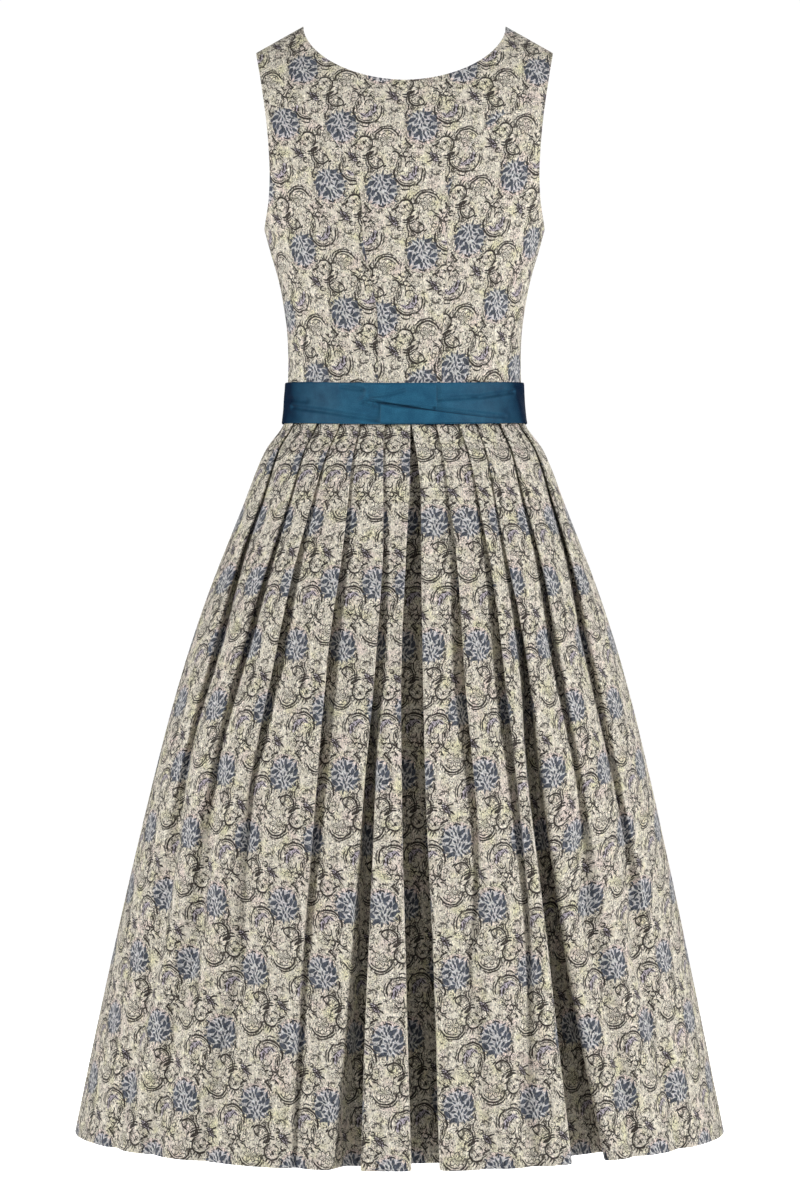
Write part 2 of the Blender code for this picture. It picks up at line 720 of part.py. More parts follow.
def main():
    for old in list(bpy.data.objects):
        bpy.data.objects.remove(old)
    dirndl = bpy.data.collections.new("dirndl")
    bpy.context.scene.collection.children.link(dirndl)

    halves = []
    for name, side, seam in (("left", -1, BACK_SEAM_LEFT), ("right", 1, BACK_SEAM_RIGHT)):
        halves.append(middle_panel(side, False, seam, BACK_ARMHOLE, BACK_COUNT, BACK_NECK_DEPTH, 0.0))
        panel = side_panel(side, False, seam, BACK_ARMHOLE, BACK_COUNT)
        cloth_wall(f"bodice_back_{name}", [panel], JACQUARD, dirndl)
        panel = side_panel(side, True, FRONT_SEAM, FRONT_ARMHOLE, FRONT_COUNT)
        cloth_wall(f"bodice_front_side_{name}", [panel], JACQUARD, dirndl)
        panel = middle_panel(
            side, True, FRONT_SEAM, FRONT_ARMHOLE, FRONT_COUNT, FRONT_NECK_DEPTH, SEAM_GAP / 2
        )
        cloth_wall(f"bodice_front_centre_{name}", [panel], JACQUARD, dirndl)
    cloth_wall("bodice_back_centre", halves, JACQUARD, dirndl)
    cloth_wall("skirt_back", [skirt_back()], JACQUARD, dirndl)
    cloth_wall("skirt_front_left", [skirt_front(FRONT_LEFT, FRONT_RIGHT, -1)], JACQUARD, dirndl)
    cloth_wall("skirt_front_right", [skirt_front(FRONT_RIGHT, FRONT_LEFT, 1)], JACQUARD, dirndl)
    cloth_wall("sash_band", [sash_band()], SATIN, dirndl)
    cloth_wall("sash_end_upper", [sash_end(END_UPPER_FROM, END_UPPER_TO, True)], SATIN, dirndl)
    cloth_wall("sash_end_lower", [sash_end(END_LOWER_FROM, END_LOWER_TO, False)], SATIN, dirndl)


main()
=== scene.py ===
"""The looks of a sleeveless dirndl: a floral jacquard bodice and skirt and a satin sash.

Metres, +Z up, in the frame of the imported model. The wearer's back faces -Y and the
wearer's right is +X. Every piece of cloth is a thin shell on the form of its solid, cut
into fine rows and columns, with a map of the flat cloth in real metres.
"""

import math
from collections import namedtuple

import bpy
import numpy as np
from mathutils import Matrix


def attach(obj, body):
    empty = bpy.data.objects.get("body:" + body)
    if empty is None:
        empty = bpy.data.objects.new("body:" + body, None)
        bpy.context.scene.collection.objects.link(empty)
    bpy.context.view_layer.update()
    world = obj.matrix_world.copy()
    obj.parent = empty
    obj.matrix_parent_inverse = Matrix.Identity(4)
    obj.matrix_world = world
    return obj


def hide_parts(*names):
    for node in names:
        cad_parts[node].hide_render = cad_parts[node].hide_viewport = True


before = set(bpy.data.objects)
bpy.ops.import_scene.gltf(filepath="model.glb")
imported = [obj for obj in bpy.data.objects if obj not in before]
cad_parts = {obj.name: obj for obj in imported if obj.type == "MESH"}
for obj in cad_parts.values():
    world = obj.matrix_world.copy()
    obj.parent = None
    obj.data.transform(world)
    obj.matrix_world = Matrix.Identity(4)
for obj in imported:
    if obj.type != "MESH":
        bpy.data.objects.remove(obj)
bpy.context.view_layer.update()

# Sizes of the garment
CLOTH = 0.0012  # thickness of the solids' walls
SEAM_GAP = 0.0003  # between pieces that meet at a seam
SASH_GAP = 0.0005  # between the waist and the sash
SHOULDER_TOP = 0.0150
NECK_HALF_WIDTH = 0.1124
SHOULDER_TIP = 0.1650
SHOULDER_SLOPE = 0.56  # drop for each metre outwards
BACK_NECK_DEPTH = 0.0680
FRONT_NECK_DEPTH = 0.1700
NECK_ROUNDNESS = 1.9  # 2 would make the neckline an ellipse
UNDERARM = -0.2110
WAIST = -0.4040
SASH_TOP = -0.3810
SASH_BOTTOM = -0.4264
HEM = -1.2120
WAIST_DIP = 0.0040  # how much lower the waist hangs at centre back
HEM_DIP = 0.0110  # and the hem
HEM_SWAY = -0.0055  # how far the hem swings to one side

# The bodice and the skirt: at each height the half width and the depth each way
Section = namedtuple("Section", "height half_width behind before")
TORSO = (
    Section(SHOULDER_TOP, 0.1880, 0.0900, 0.1000),
    Section(-0.0500, 0.1860, 0.0980, 0.1060),
    Section(-0.1200, 0.1820, 0.1020, 0.1170),
    Section(-0.1700, 0.1700, 0.1020, 0.1270),
    Section(UNDERARM, 0.1560, 0.1010, 0.1330),
    Section(-0.2360, 0.1490, 0.1000, 0.1330),
    Section(-0.2610, 0.1416, 0.0980, 0.1280),
    Section(-0.2860, 0.1360, 0.0950, 0.1190),
    Section(-0.3300, 0.1300, 0.0900, 0.1060),
    Section(SASH_TOP, 0.1294, 0.0885, 0.0990),
    Section(WAIST, 0.1312, 0.0905, 0.1005),
)
SKIRT = (
    Section(WAIST, 0.1312, 0.0905, 0.1005),
    Section(SASH_BOTTOM, 0.1340, 0.0930, 0.1030),
    Section(-0.4567, 0.1550, 0.1080, 0.1160),
    Section(-0.5167, 0.1790, 0.1320, 0.1370),
    Section(-0.6278, 0.2217, 0.1680, 0.1710),
    Section(-0.7389, 0.2556, 0.1950, 0.1970),
    Section(-0.9056, 0.2956, 0.2240, 0.2250),
    Section(-1.0722, 0.3317, 0.2500, 0.2500),
    Section(HEM, 0.3605, 0.2700, 0.2700),
)
ROUND_FROM = -0.1500  # above this height the figure rounds over to the shoulders
SLOPE_FROM = -0.2000  # above this height the sides drop towards the shoulder tips
DIP_FROM = -0.3000  # below this height the back dips at its middle

# Seams and edges of the bodice, as half widths at heights
Edge = namedtuple("Edge", "height x")
BACK_ARMHOLE = (
    Edge(UNDERARM, 0.1560), Edge(-0.1960, 0.1525), Edge(-0.1776, 0.1497), Edge(-0.1477, 0.1486),
    Edge(-0.1015, 0.1517), Edge(-0.0535, 0.1583), Edge(-0.0145, SHOULDER_TIP),
)
FRONT_ARMHOLE = (
    Edge(UNDERARM, 0.1560), Edge(-0.1980, 0.1505), Edge(-0.1800, 0.1450), Edge(-0.1450, 0.1415),
    Edge(-0.1000, 0.1440), Edge(-0.0535, 0.1530), Edge(-0.0145, SHOULDER_TIP),
)
BACK_SEAM_HIGH = (
    Edge(-0.0740, 0.1553), Edge(-0.0790, 0.1420), Edge(-0.0850, 0.1220), Edge(-0.0925, 0.1060),
    Edge(-0.1020, 0.0930), Edge(-0.1140, 0.0806), Edge(-0.1330, 0.0680), Edge(-0.1483, 0.0595),
    Edge(-0.1647, 0.0525),
)
BACK_SEAM_LEFT = BACK_SEAM_HIGH + (
    Edge(-0.1864, 0.0475), Edge(-0.2100, 0.0460), Edge(-0.2300, 0.0452), Edge(-0.2500, 0.0410),
    Edge(-0.2900, 0.0327), Edge(-0.3200, 0.0296), Edge(WAIST, 0.0290),
)
BACK_SEAM_RIGHT = BACK_SEAM_HIGH + (
    Edge(-0.1864, 0.0480), Edge(-0.2100, 0.0472), Edge(-0.2600, 0.0459), Edge(-0.3000, 0.0428),
    Edge(-0.3400, 0.0410), Edge(WAIST, 0.0400),
)
FRONT_SEAM = (
    Edge(-0.1450, 0.1415), Edge(-0.1700, 0.1230), Edge(-0.2000, 0.1050), Edge(-0.2500, 0.0880),
    Edge(-0.3200, 0.0740), Edge(WAIST, 0.0660),
)

# Folds of the skirt. A fold's crest is its outer edge, which faces the centre line.
# crest: its place at each level, as a share of the skirt's half width
# slack: the cloth laid into the fold at each level, in millimetres
# flat: the share of the cloth before the fold that stays flat, low on the skirt
# tuck: how much further the fold lies back, low on the skirt, in degrees
LEVELS = (SASH_BOTTOM, -0.4890, -0.5670, -0.6780, -0.8220, -1.0110, HEM)
FOLD_ANGLE = (173, 171, 157, 128, 108, 98, 94)  # how far a fold is laid back, degrees
FOLD_RADIUS = (0.0007, 0.0008, 0.0012, 0.0026, 0.0052, 0.0080, 0.0100)  # of its edges
FADING_SLACK = 0.012  # a fold with less cloth than this opens out
LEAST_SLACK = 0.0012  # no fold opens out further than this leaves it
STEEPEST = 1.3  # the most that a fold's face may slope, radians
SHALLOW = 0.28  # the share of the fold's angle that is left when it has opened out
# A fold may become a deep trough with a level floor, low on the skirt: how deep it is, how
# far its two walls are laid over, in degrees, and the radii of its two edges
Trough = namedtuple("Trough", "depth entry leave entry_radius leave_radius")
SOFT_TROUGH = Trough(0.042, 97, 72, 0.0050, 0.0090)
SHARP_TROUGH = Trough(0.058, 84, 134, 0.0090, 0.0060)
Fold = namedtuple("Fold", "crest slack flat tuck trough", defaults=(0.0, 0.0, None))
BACK_RIGHT = (
    Fold((0.066, 0.108, 0.100, 0.100, 0.113, 0.140, 0.148), (60, 54, 50, 56, 72, 86, 90), 0.0, 20.0),
    Fold((0.270, 0.282, 0.293, 0.290, 0.296, 0.310, 0.322), (66, 56, 48, 34, 14, 4, 2)),
    Fold((0.455, 0.466, 0.470, 0.470, 0.466, 0.462, 0.462), (60, 54, 42, 36, 18, 8, 3)),
    Fold(
        (0.600, 0.578, 0.568, 0.578, 0.572, 0.590, 0.632),
        (60, 54, 50, 56, 70, 86, 92),
        0.18,
        0.0,
        SHARP_TROUGH,
    ),
    Fold((0.795, 0.758, 0.750, 0.725, 0.718, 0.730, 0.751), (66, 54, 42, 26, 10, 3, 2)),
    Fold((0.965, 0.940, 0.920, 0.880, 0.872, 0.875, 0.885), (38, 40, 36, 22, 12, 4, 2)),
)
BACK_LEFT = (
    Fold((-0.038, -0.026, -0.003, 0.020, 0.020, 0.006, -0.008), (60, 54, 50, 56, 72, 86, 90), 0.0, 4.0),
    Fold(
        (0.173, 0.145, 0.125, 0.141, 0.171, 0.201, 0.228),
        (62, 58, 52, 58, 68, 78, 82),
        0.46,
        0.0,
        SOFT_TROUGH,
    ),
    Fold((0.375, 0.361, 0.347, 0.360, 0.349, 0.342, 0.352), (64, 56, 46, 34, 20, 10, 6)),
    Fold((0.540, 0.570, 0.590, 0.600, 0.610, 0.625, 0.640), (58, 54, 46, 28, 10, 4, 2)),
    Fold((0.730, 0.720, 0.735, 0.755, 0.770, 0.780, 0.790), (64, 52, 42, 22, 8, 4, 2)),
    Fold((0.930, 0.900, 0.905, 0.890, 0.895, 0.895, 0.895), (44, 44, 38, 20, 8, 4, 2)),
)
FRONT_RIGHT = (
    Fold((0.012, 0.040, 0.052, 0.064, 0.078, 0.088, 0.096), (60, 54, 46, 38, 32, 28, 26)),
    Fold((0.225, 0.228, 0.234, 0.240, 0.250, 0.258, 0.262), (66, 56, 44, 28, 12, 4, 2)),
    Fold((0.415, 0.420, 0.428, 0.436, 0.446, 0.456, 0.464), (64, 56, 50, 48, 50, 48, 46)),
    Fold((0.600, 0.602, 0.606, 0.612, 0.618, 0.624, 0.630), (64, 56, 44, 28, 12, 4, 2)),
    Fold((0.770, 0.772, 0.772, 0.774, 0.776, 0.780, 0.784), (64, 54, 46, 36, 28, 22, 18)),
    Fold((0.905, 0.905, 0.905, 0.905, 0.905, 0.905, 0.905), (46, 44, 38, 24, 10, 4, 2)),
)
FRONT_LEFT = (
    Fold((0.012, 0.034, 0.044, 0.054, 0.064, 0.072, 0.078), (60, 54, 46, 38, 32, 28, 26)),
    Fold((0.215, 0.220, 0.226, 0.234, 0.242, 0.250, 0.256), (66, 56, 48, 40, 34, 28, 24)),
    Fold((0.405, 0.412, 0.420, 0.428, 0.436, 0.444, 0.450), (64, 56, 44, 28, 12, 4, 2)),
    Fold((0.590, 0.594, 0.600, 0.610, 0.620, 0.632, 0.640), (64, 56, 48, 42, 40, 38, 36)),
    Fold((0.765, 0.768, 0.770, 0.774, 0.778, 0.782, 0.786), (64, 54, 44, 28, 12, 6, 4)),
    Fold((0.905, 0.905, 0.905, 0.905, 0.905, 0.905, 0.905), (46, 44, 38, 24, 10, 4, 2)),
)
FLAT_FROM = -0.5670  # the flat part before a fold starts here
FLAT_FULL = -0.8220  # and has its whole width from here down
TROUGH_FROM = -0.7000  # a trough takes the place of its fold from here
TROUGH_FULL = -0.9800  # to here
LEAD = 0.25  # above that, the share of the face that takes its place
TROUGH_ROOM = 0.0360  # a trough in less width than this is scaled down to fit
BELLY = 0.0035  # how far a pleat's face bows outwards, low on the skirt
BELLY_FROM = -0.4600  # faces begin to bow below this height
BELLY_WIDTH = 0.0500  # a face narrower than this bows less
FLAT_BELLY = 0.3  # the share of the bow that a face with a flat part keeps

# The sash and its two ends, which cross flat at centre back
END_UPPER_FROM = -0.0450
END_UPPER_TO = 0.0350
END_LOWER_FROM = -0.0260
END_LOWER_TO = 0.1050
END_INSET = 0.0012  # how far the ends stay inside the band's edges
UPPER_SINK = 0.0220  # the length over which the upper end sinks under the other
LOWER_SINK = 0.0450  # and the lower end sinks into the band
CROSSING_DROP = 0.0190  # where the slanting crossing starts, below the sash's top
CROSSING_SLOPE = 0.145
END_PRESS = 0.7  # how deep the creases are on the ends, against the band's
SASH_ROWS = (SASH_TOP, (SASH_TOP + WAIST) / 2, WAIST, SASH_BOTTOM)
SASH_LIFT = 0.0012  # how far the sash stands off its solid, which leaves room for creases
SASH_BULGE = 0.0022  # the most that it stands out further still
SWELL = 0.0009  # height of the long shallow swells along the band
# A crease of the sash: its course in x and in the distance below the sash's top,
# its depth and its width
Crease = namedtuple("Crease", "course depth width")
CREASES = (
    Crease(((-0.0680, 0.0050), (-0.0560, 0.0066), (-0.0450, 0.0082)), 0.0016, 0.0016),
    Crease(((-0.0390, 0.0155), (-0.0160, 0.0124), (-0.0006, 0.0082)), 0.0014, 0.0015),
    Crease(((-0.0420, 0.0180), (-0.0110, 0.0248), (0.0330, 0.0284)), 0.0020, 0.0014),
    Crease(((0.0330, 0.0284), (0.0850, 0.0352), (0.1090, 0.0378)), 0.0012, 0.0016),
    Crease(((-0.0470, 0.0222), (-0.0310, 0.0258)), 0.0013, 0.0013),
    Crease(((-0.1220, 0.0275), (-0.0890, 0.0316), (-0.0520, 0.0369), (-0.0310, 0.0405)), 0.0016, 0.0020),
    Crease(((0.0365, 0.0176), (0.0830, 0.0160), (0.1190, 0.0108)), 0.0015, 0.0017),
    Crease(((-0.1260, 0.0190), (-0.1080, 0.0205)), 0.0010, 0.0030),
)
# Beside each crease lies a low ridge: its place and width, against the crease's width,
# and its height against the crease's depth
RIDGE_PLACE = 2.2
RIDGE_WIDTH = 1.3
RIDGE_HEIGHT = 0.35

# Fineness: rows and columns of the shells
BACK_COUNT = 96
FRONT_COUNT = 64
HIGH_COUNT = 46
ACROSS = 44
BEHIND_SASH = 6  # one row of the bodice in this many lies behind the sash
LEAD_STEPS = 5
FACE_STEPS = 9
TURN_STEPS = 6
RETURN_STEPS = 4
BEND_STEPS = 3  # at each bend down into a trough
SIDE_STEPS = 12
SKIRT_SPACING = 0.0085
GATHERED_ROWS = 0.38  # how far the skirt's rows draw together at the waist
GATHER_POWER = 1.7
SASH_COLUMNS = 360
SASH_LINES = 28
END_COLUMNS = 120
END_LINES = 18
TRACE = 400  # points of a line that is measured
QUARTER_ANGLES = 241  # points of a quarter of the skirt's outline

# Shells
SHELL = 0.0008  # thickness of a shell
TURN_UP = 0.0008  # the hem is turned up inside, and thicker by this
TURN_UP_DEPTH = 0.0400
EDGE_STEPS = (0.0005, 0.0010, 0.0017)  # extra lines this far from each edge, to round it
EDGE_ROUND = 0.48  # how far an edge closes in, as a share of the shell
EDGE_REACH = 1.3 * EDGE_STEPS[-1]  # the closing in ends this far from the edge
EDGE_LIMIT = 0.9  # no extra line lies further than this share of the way to the next line
SHARP_ANGLE = 65  # degrees between faces, from which an edge is shaded as a sharp one
# A sheet of cloth: rows and columns of its outer and inner points and its flat map
Sheet = namedtuple("Sheet", "outer inner flat")

# Places where a blossom lies, seen from behind, as x and z
BLOOM_BACK_CENTRE = (-0.0249, -0.1742)
BLOOM_BACK_LEFT = (-0.0794, -0.1690)
BLOOM_BACK_RIGHT = (0.0702, -0.2294)
BLOOM_SKIRT_BACK = (-0.1678, -0.8727)
GRAIN_TILT = 0.12  # how far the grain of the side panels leans to the centre, downwards


def ramp(start, end, value):
    """0 at start, 1 at end, with soft ends."""
    t = np.clip((value - start) / (end - start), 0.0, 1.0)
    return t * t * (3 - 2 * t)


class Curve:
    """A smooth curve through one column of a table of heights."""

    def __init__(self, heights, values):
        order = np.argsort(heights)
        self.heights = np.array(heights, float)[order]
        self.values = np.array(values, float)[order]
        count = len(self.heights)
        low = np.maximum(np.arange(count) - 1, 0)
        high = np.minimum(np.arange(count) + 1, count - 1)
        rise = self.values[high] - self.values[low]
        self.slopes = rise / (self.heights[high] - self.heights[low])

    def __call__(self, height):
        height = np.clip(height, self.heights[0], self.heights[-1])
        i = np.clip(np.searchsorted(self.heights, height) - 1, 0, len(self.heights) - 2)
        step = self.heights[i + 1] - self.heights[i]
        t = (height - self.heights[i]) / step
        return (
            (2 * t**3 - 3 * t**2 + 1) * self.values[i]
            + (t**3 - 2 * t**2 + t) * step * self.slopes[i]
            + (3 * t**2 - 2 * t**3) * self.values[i + 1]
            + (t**3 - t**2) * step * self.slopes[i + 1]
        )


def column(rows, name):
    """The curve of one column of a table against its heights."""
    return Curve([row.height for row in rows], [getattr(row, name) for row in rows])


HALF_WIDTH = column(TORSO, "half_width")
BODY_DEPTH = {True: column(TORSO, "before"), False: column(TORSO, "behind")}
SKIRT_HALF_WIDTH = column(SKIRT, "half_width")
SKIRT_DEPTH = {True: column(SKIRT, "before"), False: column(SKIRT, "behind")}


# Bodice. A line is an array of angles and heights on the figure.


def shoulder_drop(x, height):
    """How far the slope of the shoulder lowers a point of the figure."""
    return SHOULDER_SLOPE * np.maximum(0.0, x - NECK_HALF_WIDTH) * ramp(SLOPE_FROM, SHOULDER_TOP, height)


def rounding(height):
    """The share of the figure's depth that is left where it rounds over to the shoulder."""
    t = np.clip((height - ROUND_FROM) / (SHOULDER_TOP - ROUND_FROM), 0.0, 1.0)
    return np.sqrt(1 - t * t)


def body_points(grid, side, front):
    """The points on the bodice's outer side for angles and heights."""
    angle, height = grid[..., 0], grid[..., 1]
    x = HALF_WIDTH(height) * np.sin(angle)
    y = BODY_DEPTH[front](height) * rounding(height) * np.cos(angle)
    dip = 0.0 if front else WAIST_DIP * np.cos(angle) ** 2 * (1 - ramp(WAIST, DIP_FROM, height))
    z = height - shoulder_drop(x, height) - dip
    return np.stack((side * x, y if front else -y, z), axis=-1)


def cloth_map(grid, side, front):
    """The flat place of each point: across from the centre line, and up from the waist."""
    angle, height = grid[..., 0], grid[..., 1]
    pieces = 12
    across, up = np.zeros_like(angle), np.zeros_like(angle)
    before = None
    for i in range(pieces + 1):
        at = WAIST + (height - WAIST) * i / pieces
        depth = BODY_DEPTH[front](at) * rounding(at) * np.cos(angle)
        if before is not None:
            up += np.hypot((height - WAIST) / pieces, depth - before)
        before = depth
    for i in range(pieces):
        part = angle * (i + 0.5) / pieces
        deep = BODY_DEPTH[front](height) * np.sin(part)
        across += np.hypot(HALF_WIDTH(height) * np.cos(part), deep) * angle / pieces
    up -= shoulder_drop(HALF_WIDTH(height) * np.sin(angle), height)
    return np.stack((side * across, up), axis=-1)


def on_figure(x, z):
    """The angles and heights on the figure of points seen at x and z."""
    height = np.array(z, float)
    for _ in range(20):
        height = np.minimum(z + shoulder_drop(x, height), SHOULDER_TOP)
    return np.stack((np.arcsin(np.minimum(1.0, x / HALF_WIDTH(height))), height), axis=-1)


def neckline(depth, share):
    """Points of the neckline, from centre (0) to the shoulder (1)."""
    turn = share * math.pi / 2
    x = NECK_HALF_WIDTH * np.sin(turn) ** (2 / NECK_ROUNDNESS)
    z = SHOULDER_TOP - depth * np.maximum(0.0, np.cos(turn)) ** (2 / NECK_ROUNDNESS)
    return on_figure(x, z)


def climb(high, count):
    """Heights from the waist up, a fixed share of them behind the sash."""
    behind = count // BEHIND_SASH
    low = np.linspace(WAIST, SASH_TOP, behind + 1)[:-1]
    return np.concatenate((low, np.linspace(SASH_TOP, high, count - behind + 1)))


def seam_line(rows, count):
    """Points of a seam from the waist to the armhole, evenly spaced above the sash."""
    high = rows[0].height
    place = column(rows, "x")
    trace = np.linspace(SASH_TOP, high, TRACE)
    steps = np.hypot(np.diff(trace), np.diff(place(trace)))
    lengths = np.concatenate(([0.0], np.cumsum(steps)))
    even = climb(high, count)
    share = np.clip((even - SASH_TOP) / (high - SASH_TOP), 0.0, 1.0)
    heights = np.where(even <= SASH_TOP, even, np.interp(share * lengths[-1], lengths, trace))
    return on_figure(place(heights), heights)


def side_seam(count):
    """Points of the side seam from the waist to the underarm."""
    heights = climb(UNDERARM, count)
    return on_figure(HALF_WIDTH(heights), heights)


def aside(line, gap):
    """A line moved sideways, towards the side seam where gap is positive."""
    moved = line.copy()
    moved[:, 0] += gap / HALF_WIDTH(line[:, 1])
    return moved


def between(inner, outer):
    """A grid of even columns from one line to another."""
    share = np.linspace(0.0, 1.0, ACROSS + 1)[None, :, None]
    return inner[:, None, :] * (1 - share) + outer[:, None, :] * share


def armhole(rows, low):
    """Points up an armhole from its low end to the shoulder tip."""
    tip = rows[-1].height
    heights = low + (tip - low) * ramp(0, HIGH_COUNT, np.arange(HIGH_COUNT + 1))
    x = column(rows, "x")(heights)
    x[-1] = SHOULDER_TIP
    return on_figure(x, heights)


def bodice_sheet(grid, side, front, tilt=0.0):
    """The outer and inner points of a panel and its flat map, from angles and heights."""
    outer = body_points(grid, side, front)
    normal = np.cross(np.gradient(outer, axis=1), np.gradient(outer, axis=0))
    normal /= np.linalg.norm(normal, axis=-1, keepdims=True)
    away = outer * (1, 1, 0)
    if np.sum(normal * away) < 0:
        normal = -normal
    shoulder = grid[..., 1] > SHOULDER_TOP - 1e-5
    normal[shoulder] = (0.0, 0.0, 1.0)
    flat = cloth_map(grid, side, front)
    flat[..., 0] -= side * tilt * flat[..., 1]
    return Sheet(outer, outer - SHELL * normal, flat)


def side_panel(side, front, seam, hole, count):
    """A panel from the shaped seam to the side seam, up to the armhole."""
    high = seam[0].height
    inner = aside(seam_line(seam, count), SEAM_GAP / 2)
    grid = between(inner, aside(side_seam(count), -SEAM_GAP / 2))
    # the upper rows bend more and more to the armhole
    z = np.linspace(high, UNDERARM, ACROSS + 1)[1:-1]
    edge = on_figure(column(hole, "x")(z), z)
    bend = (np.arange(count + 1) / count)[:, None, None] ** 3
    grid[:, 1:-1] += (edge - grid[-1, 1:-1])[None] * bend
    return bodice_sheet(grid, side, front, GRAIN_TILT)


def middle_panel(side, front, seam, hole, count, neck_depth, gap):
    """Half of the middle of the back or front, from its centre line to the seam and armhole."""
    heights = climb(SHOULDER_TOP - neck_depth, count)
    centre = aside(np.stack((np.zeros_like(heights), heights), axis=-1), gap)
    share = np.sin(np.linspace(0.0, math.pi / 2, HIGH_COUNT + 1)[1:])
    inner = np.concatenate((centre, neckline(neck_depth, share)))
    lower = aside(seam_line(seam, count), -SEAM_GAP / 2)
    outer = np.concatenate((lower, armhole(hole, seam[0].height)[1:]))
    grid = between(inner, outer)
    grid[-1, :, 1] = SHOULDER_TOP - 2e-7
    return bodice_sheet(grid, side, front)


# Skirt


def at_level(values, height):
    """A value of the skirt's levels at a height."""
    return float(Curve(LEVELS, values)(height))


class Ring:
    """The skirt's outline at one height, measured along a quarter from its centre line."""

    def __init__(self, height, front):
        self.height = height
        self.front = front
        self.half = float(SKIRT_HALF_WIDTH(height))
        self.depth = float(SKIRT_DEPTH[front](height))
        self.angles = np.linspace(0.0, math.pi / 2, QUARTER_ANGLES)
        middle = (self.angles[1:] + self.angles[:-1]) / 2
        speed = np.hypot(self.half * np.cos(middle), self.depth * np.sin(middle))
        self.lengths = np.concatenate(([0.0], np.cumsum(speed * np.diff(self.angles))))
        self.quarter = float(self.lengths[-1])

    def along(self, share):
        """The length along the outline to a share of the half width."""
        length = float(np.interp(abs(math.asin(share)), self.angles, self.lengths))
        return math.copysign(length, share)

    def points(self, length, inward, side):
        """Points this far inside the outline."""
        beyond = np.maximum(0.0, np.abs(length) - self.quarter) / self.depth
        angle = np.sign(length) * (np.interp(np.abs(length), self.lengths, self.angles) + beyond)
        normal = np.stack((self.depth * np.sin(angle), self.half * np.cos(angle)), axis=-1)
        normal /= np.linalg.norm(normal, axis=-1, keepdims=True)
        x = self.half * np.sin(angle) - inward * normal[:, 0]
        y = self.depth * np.cos(angle) - inward * normal[:, 1]
        down = float(ramp(WAIST, HEM, self.height))
        dip = WAIST_DIP + (HEM_DIP - WAIST_DIP) * down
        dip = 0.0 * angle if self.front else dip * np.cos(angle) ** 2
        y = y if self.front else -y
        return np.stack((side * x + HEM_SWAY * down, y, self.height - dip), axis=-1)


def solve_fold(width, slack, angle, radius):
    """The lengths of a fold's face and return, the slope of its face and its radius.

    The cloth runs from one crest along the face into the fold's bottom, turns, comes back
    out and turns again at the next crest, which lies width further on.
    """
    cloth = width + slack
    # with sharp edges first, to see how much room there is to round them
    back = (cloth**2 - width**2) / (2 * (cloth - width * math.cos(angle)))
    slope = math.atan2(back * math.sin(angle), width - back * math.cos(angle))
    radius = min(radius, 0.4 * back / (angle + slope))
    low, high = 0.0, min(STEEPEST, 0.999 * angle)
    for _ in range(40):
        slope = (low + high) / 2
        straight = cloth - 2 * radius * (angle + slope)
        wide = width - 2 * radius * (math.sin(slope) + math.sin(angle))
        face = (wide - straight * math.cos(angle)) / (math.cos(slope) - math.cos(angle))
        back = straight - face
        rise = face * math.sin(slope) - back * math.sin(angle)
        rise += 2 * radius * (math.cos(angle) - math.cos(slope))
        low, high = (slope, high) if rise < 0 else (low, slope)
    return face, back, slope, radius


def walk(start, moves):
    """Follows runs and turns. Each point is place, depth, heading and cloth.

    A move has a kind, a length or radius, the heading before and after it, its steps and
    its belly: a run with a belly bows outwards by that much at its middle.
    """
    place, depth, cloth = start
    points = []
    for kind, size, heading, turned, steps, belly in moves:
        for i in range(1, steps + 1):
            if kind == "run":
                place += size / steps * math.cos(heading)
                depth += size / steps * math.sin(heading)
                cloth += size / steps
                bow = belly * math.sin(math.pi * i / steps)
                tilt = -belly * math.pi / max(size, 1e-4) * math.cos(math.pi * i / steps)
                points.append((place, depth - bow, heading + tilt, cloth))
            else:
                first = heading + (turned - heading) * (i - 1) / steps
                last = heading + (turned - heading) * i / steps
                chord = 2 * size * abs(math.sin((last - first) / 2))
                place += chord * math.cos((first + last) / 2)
                depth += chord * math.sin((first + last) / 2)
                cloth += size * abs(last - first)
                points.append((place, depth, last, cloth))
    return points


def trough_line(first, width, flat, trough):
    """A trough of the cloth, with as many points as the fold that it takes the place of."""
    entry, leave = math.radians(trough.entry), math.radians(trough.leave)
    # a narrow trough is shallow too
    scale = min(1.0, (width - flat) / TROUGH_ROOM)
    depth = scale * trough.depth
    round_in = scale * trough.entry_radius
    round_out = scale * trough.leave_radius
    wall_in = (depth - 2 * round_in * (1 - math.cos(entry))) / math.sin(entry)
    wall_out = (depth - 2 * round_out * (1 - math.cos(leave))) / math.sin(leave)
    sideways = 2 * round_in * math.sin(entry) + wall_in * math.cos(entry)
    sideways += 2 * round_out * math.sin(leave) + wall_out * math.cos(leave)
    moves = (
        ("run", flat, 0.0, 0.0, LEAD_STEPS, 0.0),
        ("turn", round_in, 0.0, entry, BEND_STEPS, 0.0),
        ("run", wall_in, entry, entry, 1, 0.0),
        ("turn", round_in, entry, 0.0, BEND_STEPS, 0.0),
        ("run", width - flat - sideways, 0.0, 0.0, FACE_STEPS - 2 * BEND_STEPS - 1, 0.0),
        ("turn", round_out, 0.0, -leave, TURN_STEPS, 0.0),
        ("run", wall_out, -leave, -leave, RETURN_STEPS, 0.0),
        ("turn", round_out, -leave, 0.0, TURN_STEPS, 0.0),
    )
    return walk(first, moves)


